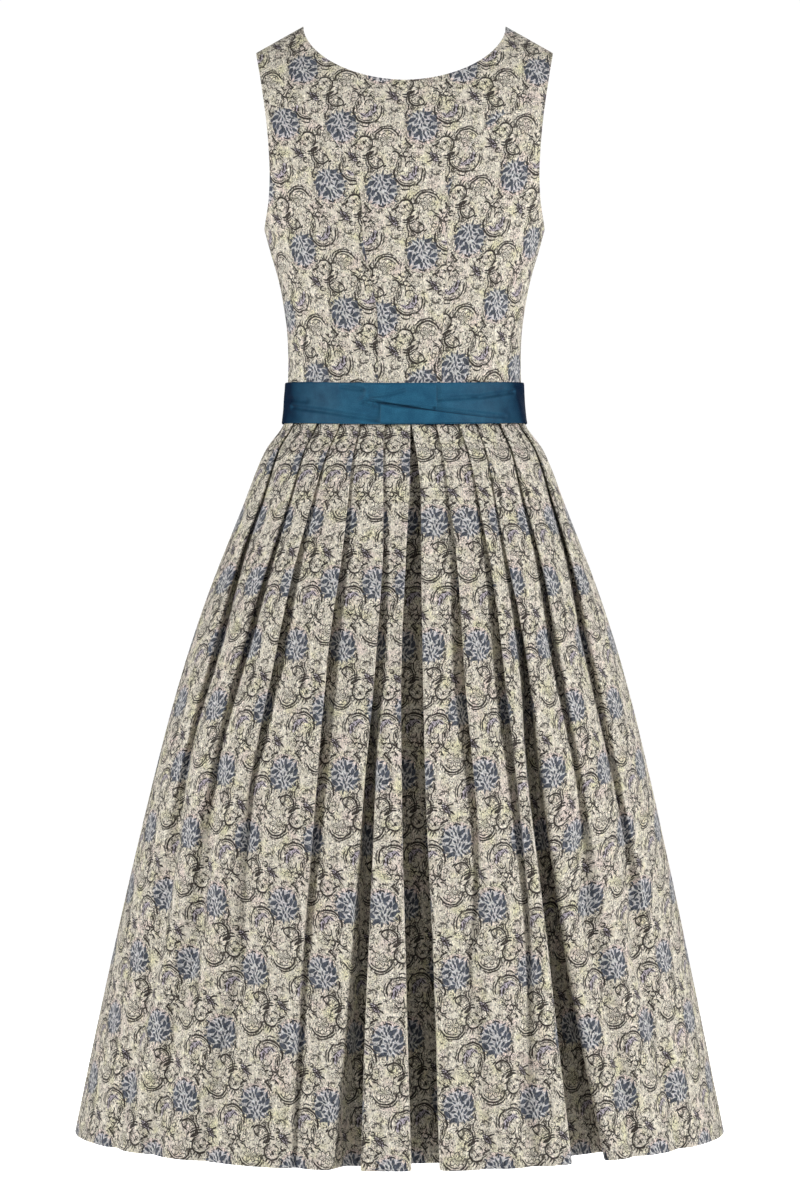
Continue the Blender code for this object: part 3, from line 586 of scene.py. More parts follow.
def quarter_line(folds, opposite, height, front):
    """The cloth's middle line over a quarter of the skirt, from the centre line out."""
    ring = Ring(height, front)
    crest = [ring.along(at_level(fold.crest, height)) for fold in folds]
    centre = (crest[0] - ring.along(at_level(opposite[0].crest, height))) / 2
    radius = at_level(FOLD_RADIUS, height)
    low = float(ramp(FLAT_FROM, FLAT_FULL, height))  # the share of its flat part that a fold has
    deep = float(ramp(TROUGH_FROM, TROUGH_FULL, height))  # how far a trough has taken over
    belly = BELLY * float(ramp(BELLY_FROM, FLAT_FULL, height))
    points = []
    start = centre
    for k, fold in enumerate(folds):
        slack = max(LEAST_SLACK, at_level(fold.slack, height) / 1000)
        fading = max(SHALLOW, float(ramp(0.0, FADING_SLACK, slack)))
        angle = math.radians(at_level(FOLD_ANGLE, height) + fold.tuck * low) * fading
        width = crest[k] - start
        flat = width * fold.flat * low
        # first: the place, the depth and the cloth at which the fold starts
        if k == 0:
            # half of the deep fold at the centre line, up from the middle of its level floor
            back, slope, tight = slack / 2, 0.0, radius
            face = width - back * math.cos(angle) - radius * 2 * math.sin(angle)
            depth = back * math.sin(angle) + 2 * radius * (1 - math.cos(angle))
            first = (centre, depth, 0.0)
            points.append((centre, depth, 0.0, 0.0))
        else:
            face, back, slope, tight = solve_fold(width - flat, slack, angle, radius)
            first = (start, 0.0, points[-1][3])
        level, lead = slope, 0.0
        if fold.flat:
            level = slope * (1 - low)
            lead = LEAD * face * (1 - low)
        bow = belly * min(1.0, width / BELLY_WIDTH) if k else 0.0
        face_bow = bow * (1 - (1 - FLAT_BELLY) * low) if fold.flat else bow
        moves = (
            ("run", flat + lead, level, level, LEAD_STEPS if fold.flat else 0, FLAT_BELLY * bow * low),
            ("run", face - lead, slope, slope, FACE_STEPS, face_bow),
            ("turn", tight, slope, -angle, TURN_STEPS, 0.0),
            ("run", back, -angle, -angle, RETURN_STEPS, 0.0),
            ("turn", tight, -angle, level, TURN_STEPS, 0.0),
        )
        made = walk(first, moves)
        if fold.trough and deep:
            trough = np.array(trough_line(first, width, flat / low, fold.trough))
            made = np.array(made) * (1 - deep) + trough * deep
        # the last point falls on the crest exactly
        length = made[-1][3] - first[2]
        too_far, too_deep = made[-1][0] - crest[k], made[-1][1]
        for place, depth, heading, cloth in made:
            share = (cloth - first[2]) / length
            points.append((place - too_far * share, depth - too_deep * share, heading, cloth))
        start = crest[k]
    side = ring.quarter - start
    points += walk((start, 0.0, points[-1][3]), (("run", side, 0.0, 0.0, SIDE_STEPS, 0.0),))
    return ring, np.array(points)


def skirt_rows():
    """Heights of the skirt's rows, closer together at the waist."""
    count = round((WAIST - HEM) / SKIRT_SPACING)
    share = np.linspace(0.0, 1.0, count + 1)
    share = (1 - GATHERED_ROWS) * share + GATHERED_ROWS * share**GATHER_POWER
    top = WAIST - SEAM_GAP
    return top + (HEM - top) * share


def quarter_sheet(folds, opposite, side, front, ends):
    """A quarter of the skirt. ends says which of its ends meet a seam and stand back from it."""
    outer, inner, flat = [], [], []
    down = 0.0
    before = None
    for height in skirt_rows():
        ring, line = quarter_line(folds, opposite, height, front)
        place, depth, heading, cloth = line.T
        place = place.copy()
        place[0] += SEAM_GAP / 2 if ends[0] else 0.0
        place[-1] -= SEAM_GAP / 2 if ends[1] else 0.0
        turned_up = TURN_UP if height < HEM + TURN_UP_DEPTH else 0.0
        for walls, out in ((outer, -SHELL / 2), (inner, SHELL / 2 + turned_up)):
            inward = depth + CLOTH / 2 + out * np.cos(heading)
            walls.append(ring.points(place - out * np.sin(heading), inward, side))
        reach = (ring.half + ring.depth) / 2
        if before is not None:
            down += math.hypot(height - before[0], reach - before[1])
        before = (height, reach)
        # the cloth of the skirt is cut with its flowers upside down
        flat.append(np.stack((-side * cloth, np.full_like(cloth, down)), axis=-1))
    return Sheet(np.array(outer), np.array(inner), np.array(flat))


def joined(left, right):
    """Two quarters as one sheet, which share their first column."""
    return Sheet(*(np.concatenate((a[:, ::-1], b[:, 1:]), axis=1) for a, b in zip(left, right)))


# Sash


def profile(height, curves):
    """A size of the waist at a height, straight between the sash's rows."""
    rows = np.array(SASH_ROWS[::-1])
    torso, skirt = curves
    sizes = [float(torso(row) if row >= WAIST else skirt(row)) for row in rows]
    return np.interp(height, rows, sizes)


def waist_points(angle, height, out):
    """Points round the waist, moved out from the bodice and the skirt."""
    front = np.cos(angle) < 0
    half = profile(height, (HALF_WIDTH, SKIRT_HALF_WIDTH))
    before = profile(height, (BODY_DEPTH[True], SKIRT_DEPTH[True]))
    behind = profile(height, (BODY_DEPTH[False], SKIRT_DEPTH[False]))
    depth = np.where(front, before, behind)
    normal = np.stack((depth * np.sin(angle), -half * np.cos(angle)), axis=-1)
    normal /= np.linalg.norm(normal, axis=-1, keepdims=True)
    dip = np.where(front, 0.0, WAIST_DIP * np.cos(angle) ** 2)
    x = half * np.sin(angle) + out * normal[..., 0]
    y = -depth * np.cos(angle) + out * normal[..., 1]
    return np.stack((x, y, height - dip), axis=-1)


def crease_depth(x, z, behind):
    """How far the creases press the sash in, with a low ridge beside each."""
    total = np.zeros_like(x)
    below = SASH_TOP - z
    for crease in CREASES:
        nearest = np.full_like(x, 1.0)
        for (x0, d0), (x1, d1) in zip(crease.course, crease.course[1:]):
            run, fall = x1 - x0, d1 - d0
            share = np.clip(((x - x0) * run + (below - d0) * fall) / (run**2 + fall**2), 0, 1)
            nearest = np.minimum(nearest, np.hypot(x - x0 - share * run, below - d0 - share * fall))
        trough = np.exp(-((nearest / crease.width) ** 2))
        beside = (nearest - RIDGE_PLACE * crease.width) / (RIDGE_WIDTH * crease.width)
        total += crease.depth * (trough - RIDGE_HEIGHT * np.exp(-(beside**2)))
    return np.where(behind, total, 0.0)


def sash_sheet(angle, height, out, press=1.0):
    """A sheet of the sash for a grid of angles and heights, this far out of the waist."""
    plain = waist_points(angle, height, out)
    pressed = crease_depth(plain[..., 0], height, np.cos(angle) > 0) * press
    out = out + SASH_LIFT
    limit = SASH_LIFT + SASH_GAP + CLOTH - SHELL
    swell = SWELL * np.sin(9 * angle + 90 * height) * np.sin(5 * angle + 1.0)
    press_in = np.clip(pressed + swell, -SASH_BULGE, limit)
    outer = waist_points(angle, height, out - press_in)
    inner = waist_points(angle, height, out - press_in - SHELL)
    half = profile(WAIST, (HALF_WIDTH, SKIRT_HALF_WIDTH))
    flat = np.stack((angle * half, height), axis=-1)
    return Sheet(outer, inner, flat)


def sash_band():
    """The band, once round the waist from centre back."""
    angle = np.linspace(0, 2 * math.pi, SASH_COLUMNS + 1)
    height = np.linspace(SASH_TOP, SASH_BOTTOM, SASH_LINES + 1)
    angle, height = np.meshgrid(angle, height)
    return sash_sheet(angle, height, SASH_GAP + CLOTH)


def sash_crossing(x):
    """The slanting line where the lower end lies over the upper one."""
    return SASH_TOP - CROSSING_DROP - CROSSING_SLOPE * (x - END_UPPER_FROM)


def sash_end(start, end, upper):
    """One end of the sash, laid flat on the band and lost under it at its far side."""
    x = np.linspace(start, end, END_COLUMNS + 1)
    if upper:
        top = np.full_like(x, SASH_TOP - END_INSET)
        bottom = sash_crossing(x) + SEAM_GAP
        sunk = 1 - ramp(start, start + UPPER_SINK, x)
    else:
        top = sash_crossing(x) - SEAM_GAP
        bottom = np.full_like(x, SASH_BOTTOM + END_INSET)
        sunk = ramp(end - LOWER_SINK, end, x)
    share = np.linspace(0, 1, END_LINES + 1)[:, None]
    height = top[None] + (bottom - top)[None] * share
    angle = np.arcsin(x / HALF_WIDTH(WAIST))[None] + 0 * height
    out = 2 * (SASH_GAP + CLOTH) - (SASH_GAP + CLOTH - 0.0002) * sunk[None] + 0 * height
    return sash_sheet(angle, height, out, END_PRESS)


# Meshes


def with_edges(sheet, axis, first, last):
    """The sheet with extra lines close to its first and last line, rounded at the edge."""
    closing = [EDGE_ROUND * (1 - step / EDGE_REACH) ** 2 for step in (0.0,) + EDGE_STEPS]
    arrays = [np.moveaxis(a, axis, 0) for a in sheet]
    for at_end in (False, True):
        if not (last if at_end else first):
            continue
        if at_end:
            arrays = [a[::-1] for a in arrays]
        gap = np.linalg.norm(arrays[0][1] - arrays[0][0], axis=-1, keepdims=True)
        shares = [np.minimum(EDGE_LIMIT, step / np.maximum(gap, 1e-6)) for step in EDGE_STEPS]
        for k, a in enumerate(arrays):
            added = np.stack([a[0] + (a[1] - a[0]) * share for share in shares])
            arrays[k] = np.concatenate((a[:1], added, a[1:]))
        outer, inner, flat = arrays
        for i, close in enumerate(closing):
            middle = (outer[i] + inner[i]) / 2
            outer[i] += (middle - outer[i]) * 2 * close
            inner[i] += (middle - inner[i]) * 2 * close
        arrays = [outer, inner, flat]
        if at_end:
            arrays = [a[::-1] for a in arrays]
    return Sheet(*(np.moveaxis(a, 0, axis) for a in arrays))


def edged(sheet, across=(True, True), down=(False, True)):
    """The sheet with its first and last column and row rounded, where they are edges."""
    return with_edges(with_edges(sheet, 1, *across), 0, *down)


def outward_quads(sheets, outer, inner, place):
    """The faces of the outer side, which all look outwards. place numbers the points."""
    quads = []
    offset = 0
    for sheet in sheets:
        rows, columns = sheet.outer.shape[:2]
        grid = place[offset : offset + rows * columns].reshape(rows, columns)
        offset += rows * columns
        corners = np.stack((grid[:-1, :-1], grid[:-1, 1:], grid[1:, 1:], grid[1:, :-1]), axis=-1)
        corners = corners.reshape(-1, 4)
        a, b, d = (outer[corners[:, k]] for k in (0, 1, 3))
        thickness = (outer - inner)[corners[:, 0]]
        if np.sum(np.cross(b - a, d - a) * thickness) < 0:
            corners = corners[:, ::-1]
        quads.append(corners)
    return np.concatenate(quads)


def rim_quads(quads, count):
    """The faces that join the outer side's free edges to the inner side's."""
    edges = np.concatenate([quads[:, [k, (k + 1) % 4]] for k in range(4)])
    _, index, times = np.unique(np.sort(edges, axis=1), axis=0, return_index=True, return_counts=True)
    rim = edges[index[times == 1]]
    return np.stack((rim[:, 1], rim[:, 0], rim[:, 0] + count, rim[:, 1] + count), axis=-1)


def cloth_piece(name, sheets, face, reverse):
    """A thin closed shell from one or more sheets, which may share a line of points."""
    outer = np.concatenate([s.outer.reshape(-1, 3) for s in sheets])
    inner = np.concatenate([s.inner.reshape(-1, 3) for s in sheets])
    flat = np.concatenate([s.flat.reshape(-1, 2) for s in sheets])
    _, first, place = np.unique(np.round(outer, 7), axis=0, return_index=True, return_inverse=True)
    outer, inner, flat = outer[first], inner[first], flat[first]
    count = len(outer)
    quads = outward_quads(sheets, outer, inner, place.reshape(-1))
    faces = np.concatenate((quads, quads[:, ::-1] + count, rim_quads(quads, count)))
    mesh = bpy.data.meshes.new(name)
    mesh.from_pydata(np.concatenate((outer, inner)).tolist(), [], faces.tolist())
    layer = mesh.uv_layers.new(name="cloth")
    corners = np.empty(len(mesh.loops), dtype=np.int32)
    mesh.loops.foreach_get("vertex_index", corners)
    layer.data.foreach_set("uv", flat[corners % count].astype(np.float32).ravel())
    mesh.materials.append(face)
    mesh.materials.append(reverse)
    slots = np.zeros(len(faces), dtype=np.int32)
    slots[len(quads) : 2 * len(quads)] = 1
    mesh.polygons.foreach_set("material_index", slots)
    mesh.shade_smooth()
    mesh.set_sharp_from_angle(angle=math.radians(SHARP_ANGLE))
    mesh.validate()
    piece = bpy.data.objects.new(name, mesh)
    bpy.context.scene.collection.objects.link(piece)
    return piece


def bloom_at(sheets, x, z):
    """The sheets with their flat map moved so that a blossom lies at x and z."""
    best = None
    for s in sheets:
        far = np.hypot(s.outer[..., 0] - x, s.outer[..., 2] - z)
        at = np.unravel_index(np.argmin(far), far.shape)
        if best is None or far[at] < best[0]:
            best = (far[at], s.flat[at].copy())
    return [Sheet(s.outer, s.inner, s.flat - best[1]) for s in sheets]


def place_cloth(node, sheets, finish):
    """Makes the shell that stands for a node, hides the node's own part and attaches the shell to the
    root.
    """
    face, reverse, slot = finish
    piece = cloth_piece(f"cloth_{node}", sheets, face, reverse)
    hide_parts(node)
    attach(piece, "root")


# Materials


def linear(red, green, blue):
    """A colour as the eye reads it, 0 to 255, turned into light."""
    parts = (c / 255 for c in (red, green, blue))
    return tuple(c / 12.92 if c <= 0.04045 else ((c + 0.055) / 1.055) ** 2.4 for c in parts) + (1.0,)


class Nodes:
    """Adds nodes to a tree and links them, left to right."""

    def __init__(self, tree):
        self.tree = tree
        self.count = 0

    def add(self, kind, inputs=(), **settings):
        """A new node with its settings, and its inputs set or linked."""
        node = self.tree.nodes.new(kind)
        node.location = (180 * (self.count // 8), -220 * (self.count % 8))
        self.count += 1
        for name, value in settings.items():
            setattr(node, name, value)
        for key, value in dict(inputs).items():
            self.set(node.inputs[key], value)
        return node

    def set(self, socket, value):
        if isinstance(value, bpy.types.NodeSocket):
            self.tree.links.new(value, socket)
        else:
            socket.default_value = value

    def math(self, operation, *values, clamp=False):
        node = self.add("ShaderNodeMath", enumerate(values), operation=operation, use_clamp=clamp)
        return node.outputs[0]

    def vector(self, operation, *values, output=0):
        node = self.add("ShaderNodeVectorMath", enumerate(values), operation=operation)
        return node.outputs[output]

    def mix(self, share, a, b, blend="MIX"):
        node = self.add("ShaderNodeMix", {0: share, 6: a, 7: b}, data_type="RGBA", blend_type=blend)
        return node.outputs[2]

    def contrast(self, value, zero, one):
        """0 where the value is at the first number or past it, and 1 at the second."""
        times = 1 / (one - zero)
        return self.math("MULTIPLY_ADD", value, times, -zero * times, clamp=True)

    def shade(self, colour, light):
        """A colour made lighter or darker by a factor."""
        return self.mix(1.0, colour, self.combine(light, light, light), "MULTIPLY")

    def noise(self, vector, scale, detail=2.0):
        inputs = {"Vector": vector, "Scale": scale, "Detail": detail}
        return self.add("ShaderNodeTexNoise", inputs).outputs

    def separate(self, vector):
        return self.add("ShaderNodeSeparateXYZ", {0: vector}).outputs

    def combine(self, x, y, z=0.0):
        return self.add("ShaderNodeCombineXYZ", {0: x, 1: y, 2: z}).outputs[0]

    def group(self, group, **inputs):
        node = self.add("ShaderNodeGroup", node_tree=group)
        for name, value in inputs.items():
            self.set(node.inputs[name], value)
        return node.outputs


SOCKETS = {"value": "NodeSocketFloat", "vector": "NodeSocketVector"}


def new_group(name, inputs, outputs):
    """A shader node group. inputs and outputs pair a name with value or vector."""
    tree = bpy.data.node_groups.new(name, "ShaderNodeTree")
    for label, kind in inputs:
        tree.interface.new_socket(name=label, in_out="INPUT", socket_type=SOCKETS[kind])
    for label, kind in outputs:
        tree.interface.new_socket(name=label, in_out="OUTPUT", socket_type=SOCKETS[kind])
    nodes = Nodes(tree)
    source = nodes.add("NodeGroupInput")
    target = nodes.add("NodeGroupOutput")
    target.location = (4000, 0)
    return tree, nodes, source.outputs, target


REPEAT_WIDTH = 44.5  # millimetres between the columns of flowers
REPEAT_HEIGHT = 140.0  # each column is set half of this lower than the one beside it
SOFT = 0.35  # width of the soft edge of a drawn line, millimetres
LINE_WEIGHT = 0.66  # half width of a stroke, as a share of the width in its table
TAPER = 9.0  # how soon a stroke reaches its full width
WANDER = 0.0026  # how far a drawn line strays, metres
WANDER_SCALE = 160.0  # bends to the metre
BLOSSOM_SPREAD = 1.1  # the blossom's size, against its table
PETAL_FULLNESS = 1.2  # and the size of its petals
DISC_EDGE = (18.0, 15.5)  # radii between which the pale ground of the blossom sets in
STAR_PETALS = 6
STAR_RIPPLE = 0.2  # how deep the petals are cut, as a share of the radius
STAR_LINE = 0.75  # half width of its outline
STAR_HEART = 0.55  # how far its rays reach, as a share of the radius
STAR_RAY = 0.35  # the cosine at which a ray ends at its side

# Small sprigs between the flowers: bent contour lines of a soft noise, broken by gaps
SPRIG_SCALE = 0.20  # to the millimetre
SPRIG_LAYER = 5.0  # how far apart in the noise the sprigs of two clusters lie
SPRIG_CONTOURS = 5.0
SPRIG_LINE = (0.19, 0.13)  # a line's edge and its full strength, as shares of a contour
SPRIG_GAPS = (0.389, 0.5)
SPRIG_BORDER = (22.0, 18.0)  # they set in between these distances from the cluster's middle
SPRIG_LEAN = 0.1  # and sooner by this for each millimetre above or below it
SPRIG_STRENGTH = 0.9
SPRIGS_ON_BLOSSOM = 0.55  # the share of their strength that is left on a blossom


def repeat_group():
    """The place within a half-drop repeat, in millimetres from a centre."""
    inputs = (("Cloth", "vector"), ("Centre", "vector"))
    tree, n, given, target = new_group("half drop repeat", inputs, (("Point", "vector"),))
    place = n.vector("MULTIPLY", given["Cloth"], (1000.0, 1000.0, 0.0))
    x, y, _ = n.separate(n.vector("SUBTRACT", place, given["Centre"]))
    columns = n.math("ROUND", n.math("DIVIDE", x, REPEAT_WIDTH))
    x = n.math("SUBTRACT", x, n.math("MULTIPLY", columns, REPEAT_WIDTH))
    y = n.math("ADD", y, n.math("MULTIPLY", columns, REPEAT_HEIGHT / 2))
    y = n.math("WRAP", y, REPEAT_HEIGHT / 2, -REPEAT_HEIGHT / 2)
    n.set(target.inputs["Point"], n.combine(x, y))
    return tree


def after(n, given):
    """The place from an element's centre, worked out only after the element below it.

    The centre leans on that element by a millionth of a millimetre. So the elements are
    drawn one by one, and few values have to be kept at a time.
    """
    centre = n.vector("MULTIPLY_ADD", given["Below"], (1e-6, 1e-6, 0.0), given["Centre"])
    return n.vector("SUBTRACT", given["Point"], centre)


def arc_group():
    """A stroke along an arc or spiral, thin at both ends, laid over what is below it."""
    inputs = (
        ("Point", "vector"), ("Centre", "vector"), ("Radius", "value"), ("Start", "value"),
        ("Sweep", "value"), ("Growth", "value"), ("Width", "value"), ("Below", "value"),
    )
    tree, n, given, target = new_group("arc stroke", inputs, (("Mask", "value"),))
    offset = after(n, given)
    far = n.vector("LENGTH", offset, output=1)
    x, y, _ = n.separate(offset)
    turned = n.math("SUBTRACT", n.math("ARCTAN2", y, x), n.math("RADIANS", given["Start"]))
    turned = n.math("WRAP", turned, 2 * math.pi, 0.0)
    along = n.math("DIVIDE", turned, n.math("RADIANS", given["Sweep"]))
    radius = n.math("MULTIPLY_ADD", along, given["Growth"], given["Radius"])
    off_line = n.math("ABSOLUTE", n.math("SUBTRACT", far, radius))
    rest = n.math("SUBTRACT", 1.0, along)
    taper = n.math("MULTIPLY", n.math("MULTIPLY", along, rest), TAPER, clamp=True)
    reach = n.math("MULTIPLY", given["Width"], LINE_WEIGHT / SOFT)
    near = n.math("DIVIDE", off_line, -SOFT)
    mask = n.math("MULTIPLY_ADD", taper, reach, near, clamp=True)
    n.set(target.inputs["Mask"], n.math("MAXIMUM", mask, given["Below"]))
    return tree


def leaf_group():
    """A pointed leaf, filled or drawn in outline, laid over what is below it.

    Along and Across are the leaf's own axes: they reach 1 at its tip and at its side.
    """
    inputs = (
        ("Point", "vector"), ("Centre", "vector"), ("Along", "vector"), ("Across", "vector"),
        ("Sharpness", "value"), ("Outline", "value"), ("Below", "value"),
    )
    tree, n, given, target = new_group("leaf", inputs, (("Mask", "value"),))
    offset = after(n, given)
    along = n.vector("DOT_PRODUCT", offset, given["Along"], output=1)
    across = n.math("ABSOLUTE", n.vector("DOT_PRODUCT", offset, given["Across"], output=1))
    outwards = n.math("MULTIPLY_ADD", along, along, across)
    inside = n.math("SUBTRACT", 1.0, outwards)
    filled = n.math("MULTIPLY", inside, given["Sharpness"], clamp=True)
    hollow = n.math("MULTIPLY_ADD", inside, given["Sharpness"], -1.0 / SOFT, clamp=True)
    mask = n.math("SUBTRACT", filled, n.math("MULTIPLY", hollow, given["Outline"]))
    n.set(target.inputs["Mask"], n.math("MAXIMUM", mask, given["Below"]))
    return tree


def star_group():
    """A small flower of six petals, drawn in outline, with rays in its heart."""
    inputs = (("Point", "vector"), ("Centre", "vector"), ("Radius", "value"), ("Below", "value"))
    tree, n, given, target = new_group("star flower", inputs, (("Mask", "value"),))
    offset = after(n, given)
    far = n.vector("LENGTH", offset, output=1)
    x, y, _ = n.separate(offset)
    turned = n.math("ARCTAN2", y, x)
    petals = n.math("COSINE", n.math("MULTIPLY", turned, STAR_PETALS))
    ripple = n.math("MULTIPLY_ADD", petals, STAR_RIPPLE, 1.0 - STAR_RIPPLE)
    edge = n.math("MULTIPLY", ripple, given["Radius"])
    off_line = n.math("ABSOLUTE", n.math("SUBTRACT", far, edge))
    outline = n.math("DIVIDE", n.math("SUBTRACT", STAR_LINE, off_line), SOFT, clamp=True)
    rays = n.math("COSINE", n.math("MULTIPLY", turned, 2 * STAR_PETALS))
    rays = n.math("GREATER_THAN", rays, STAR_RAY)
    within = n.math("LESS_THAN", far, n.math("MULTIPLY", given["Radius"], STAR_HEART))
    mask = n.math("MAXIMUM", outline, n.math("MULTIPLY", rays, within))
    n.set(target.inputs["Mask"], n.math("MAXIMUM", mask, given["Below"]))
    return tree


# The drawing of the cloth, in millimetres with a blossom at the origin, y upwards and
# angles in degrees from +x. Strokes and leaves are placed from the centre of their cluster.
# growth: how much a stroke's radius grows along it. outline: 1 for a leaf that is left open
Stroke = namedtuple("Stroke", "x y radius start sweep width growth", defaults=(0.0,))
Leaf = namedtuple("Leaf", "x y turn length width outline", defaults=(0.0,))
Cluster = namedtuple("Cluster", "x y strokes leaves")
BLOSSOM = Cluster(
    0.0,
    0.0,
    (
        Stroke(0.0, -12.0, 6.0, 218, 104, 1.6), Stroke(-6.5, -11.0, 12.5, 186, 66, 1.8),
        Stroke(8.0, -9.5, 13.0, 276, 52, 1.6), Stroke(1.0, -3.0, 15.5, -38, 36, 1.5),
        Stroke(-0.5, -5.0, 14.4, 176, 34, 1.5), Stroke(-10.7, 21.7, 2.4, 20, 300, 1.3, -0.9),
        Stroke(-7.0, 11.5, 11.4, 142, 62, 1.5), Stroke(-22.5, 23.0, 7.6, -34, 62, 1.4),
        Stroke(-4.0, -30.0, 9.0, 190, 62, 1.3), Stroke(19.4, -42.0, 2.2, 0, 330, 1.4),
        Stroke(5.0, -29.0, 10.0, 262, 72, 1.5), Stroke(7.5, -26.0, 9.4, 268, 60, 1.1),
    ),
    (
        Leaf(12.6, -34.0, -48, 16.5, 7.2, 1.0), Leaf(12.2, -33.5, -48, 10.0, 2.4),
        Leaf(6.4, -30.4, -32, 9.0, 2.4), Leaf(9.0, -26.6, -62, 8.0, 2.0),
        Leaf(16.8, -37.0, -14, 6.0, 2.0), Leaf(18.7, 27.2, 82, 16.5, 6.6, 1.0),
        Leaf(18.5, 26.5, 82, 9.0, 2.6), Leaf(-13.5, -23.5, 35, 8.0, 2.4),
        Leaf(-17.5, -25.5, 62, 6.0, 2.0), Leaf(15.0, -22.5, -40, 7.0, 2.2),
    ),
)
RING_SCROLL = Cluster(
    25.3,
    -19.7,
    (
        Stroke(0.0, 0.0, 9.2, -80, 236, 1.8, -0.9), Stroke(0.0, 0.0, 13.4, -106, 70, 1.7),
        Stroke(0.0, 0.0, 16.2, -102, 58, 1.5), Stroke(0.0, 0.0, 18.6, -92, 36, 1.2),
        Stroke(1.0, 26.0, 7.0, 215, 100, 1.4), Stroke(-1.0, -1.0, 6.4, 196, 84, 1.2),
        Stroke(8.5, 9.0, 5.4, 236, 120, 1.3, -1.0),
    ),
    (
        Leaf(-0.8, 1.6, -58, 6.0, 2.4), Leaf(-10.6, -0.8, 8, 8.0, 2.2), Leaf(-9.0, 3.6, 32, 6.0, 1.8),
        Leaf(4.6, -10.6, 32, 9.0, 2.6), Leaf(12.6, -11.6, 58, 7.0, 2.0),
        Leaf(-9.5, -14.8, -14, 8.0, 2.2),
    ),
)
SCROLL_AND_STAR = Cluster(
    0.0,
    43.0,
    (
        Stroke(-5.4, -10.3, 10.2, 98, 246, 1.8, -1.2), Stroke(-5.4, -10.3, 7.6, 188, 76, 1.1),
        Stroke(5.5, 10.5, 13.8, 8, 168, 1.7), Stroke(5.5, 10.5, 16.4, 58, 96, 1.4),
        Stroke(5.5, 10.5, 11.0, 20, 100, 1.1), Stroke(-4.0, -12.0, 13.4, 150, 60, 1.2),
        Stroke(14.0, -5.0, 5.2, 300, 210, 1.5, -2.0), Stroke(9.0, 12.0, 19.0, -62, 44, 1.4),
    ),
    (
        Leaf(-1.6, -10.2, -34, 9.0, 2.8), Leaf(3.4, -17.4, 48, 6.0, 2.4),
        Leaf(1.2, -13.4, -70, 6.0, 2.0), Leaf(-12.6, 16.0, 56, 7.5, 1.9),
        Leaf(-15.2, 18.2, 56, 8.0, 1.9), Leaf(-17.8, 20.4, 56, 7.5, 1.8),
        Leaf(20.0, 3.5, -54, 10.0, 2.2), Leaf(15.6, 1.0, -24, 7.0, 2.0), Leaf(12.0, 3.0, -48, 7.0, 2.0),
        Leaf(-9.5, 4.0, 18, 6.0, 2.0),
    ),
)
LILY = Cluster(
    27.9,
    18.5,
    (
        Stroke(0.0, 0.0, 14.8, 148, 160, 1.9), Stroke(0.0, 0.0, 12.4, 206, 98, 1.2),
        Stroke(0.0, 0.0, 16.2, -62, 84, 1.6), Stroke(-1.7, 19.9, 2.8, 0, 340, 1.5),
        Stroke(1.5, 7.5, 5.4, 15, 210, 1.3, -2.4), Stroke(0.0, 0.0, 19.0, -30, 50, 1.3),
        Stroke(-3.0, 2.0, 8.6, 150, 74, 1.0),
    ),
    (
        Leaf(11.0, 3.6, 74, 9.0, 2.2), Leaf(7.2, 2.2, 84, 9.0, 2.6), Leaf(9.0, -3.4, 48, 7.0, 2.0),
        Leaf(3.6, -7.6, 12, 8.0, 2.2), Leaf(0.2, -3.6, 44, 8.0, 1.8), Leaf(-4.2, -5.4, 140, 7.5, 2.0),
        Leaf(-6.5, 18.4, 150, 6.5, 2.4), Leaf(3.2, 17.0, 20, 7.0, 2.4), Leaf(-2.2, 13.6, 78, 6.0, 2.0),
    ),
)
LILY_PETALS = (
    Leaf(3.6, -4.4, 28, 15.0, 6.4), Leaf(8.0, 1.6, 76, 13.0, 6.2), Leaf(-2.8, -6.0, 150, 11.0, 4.6),
)
TRUMPET_PETAL = Leaf(12.6, -34.0, -48, 14.5, 5.6)
RIM = Stroke(0.0, -1.0, 15.6, 196, 140, 6.4)
STAR_CENTRE = (5.5, 11.5, 0.0)
STAR_RADIUS = 8.0
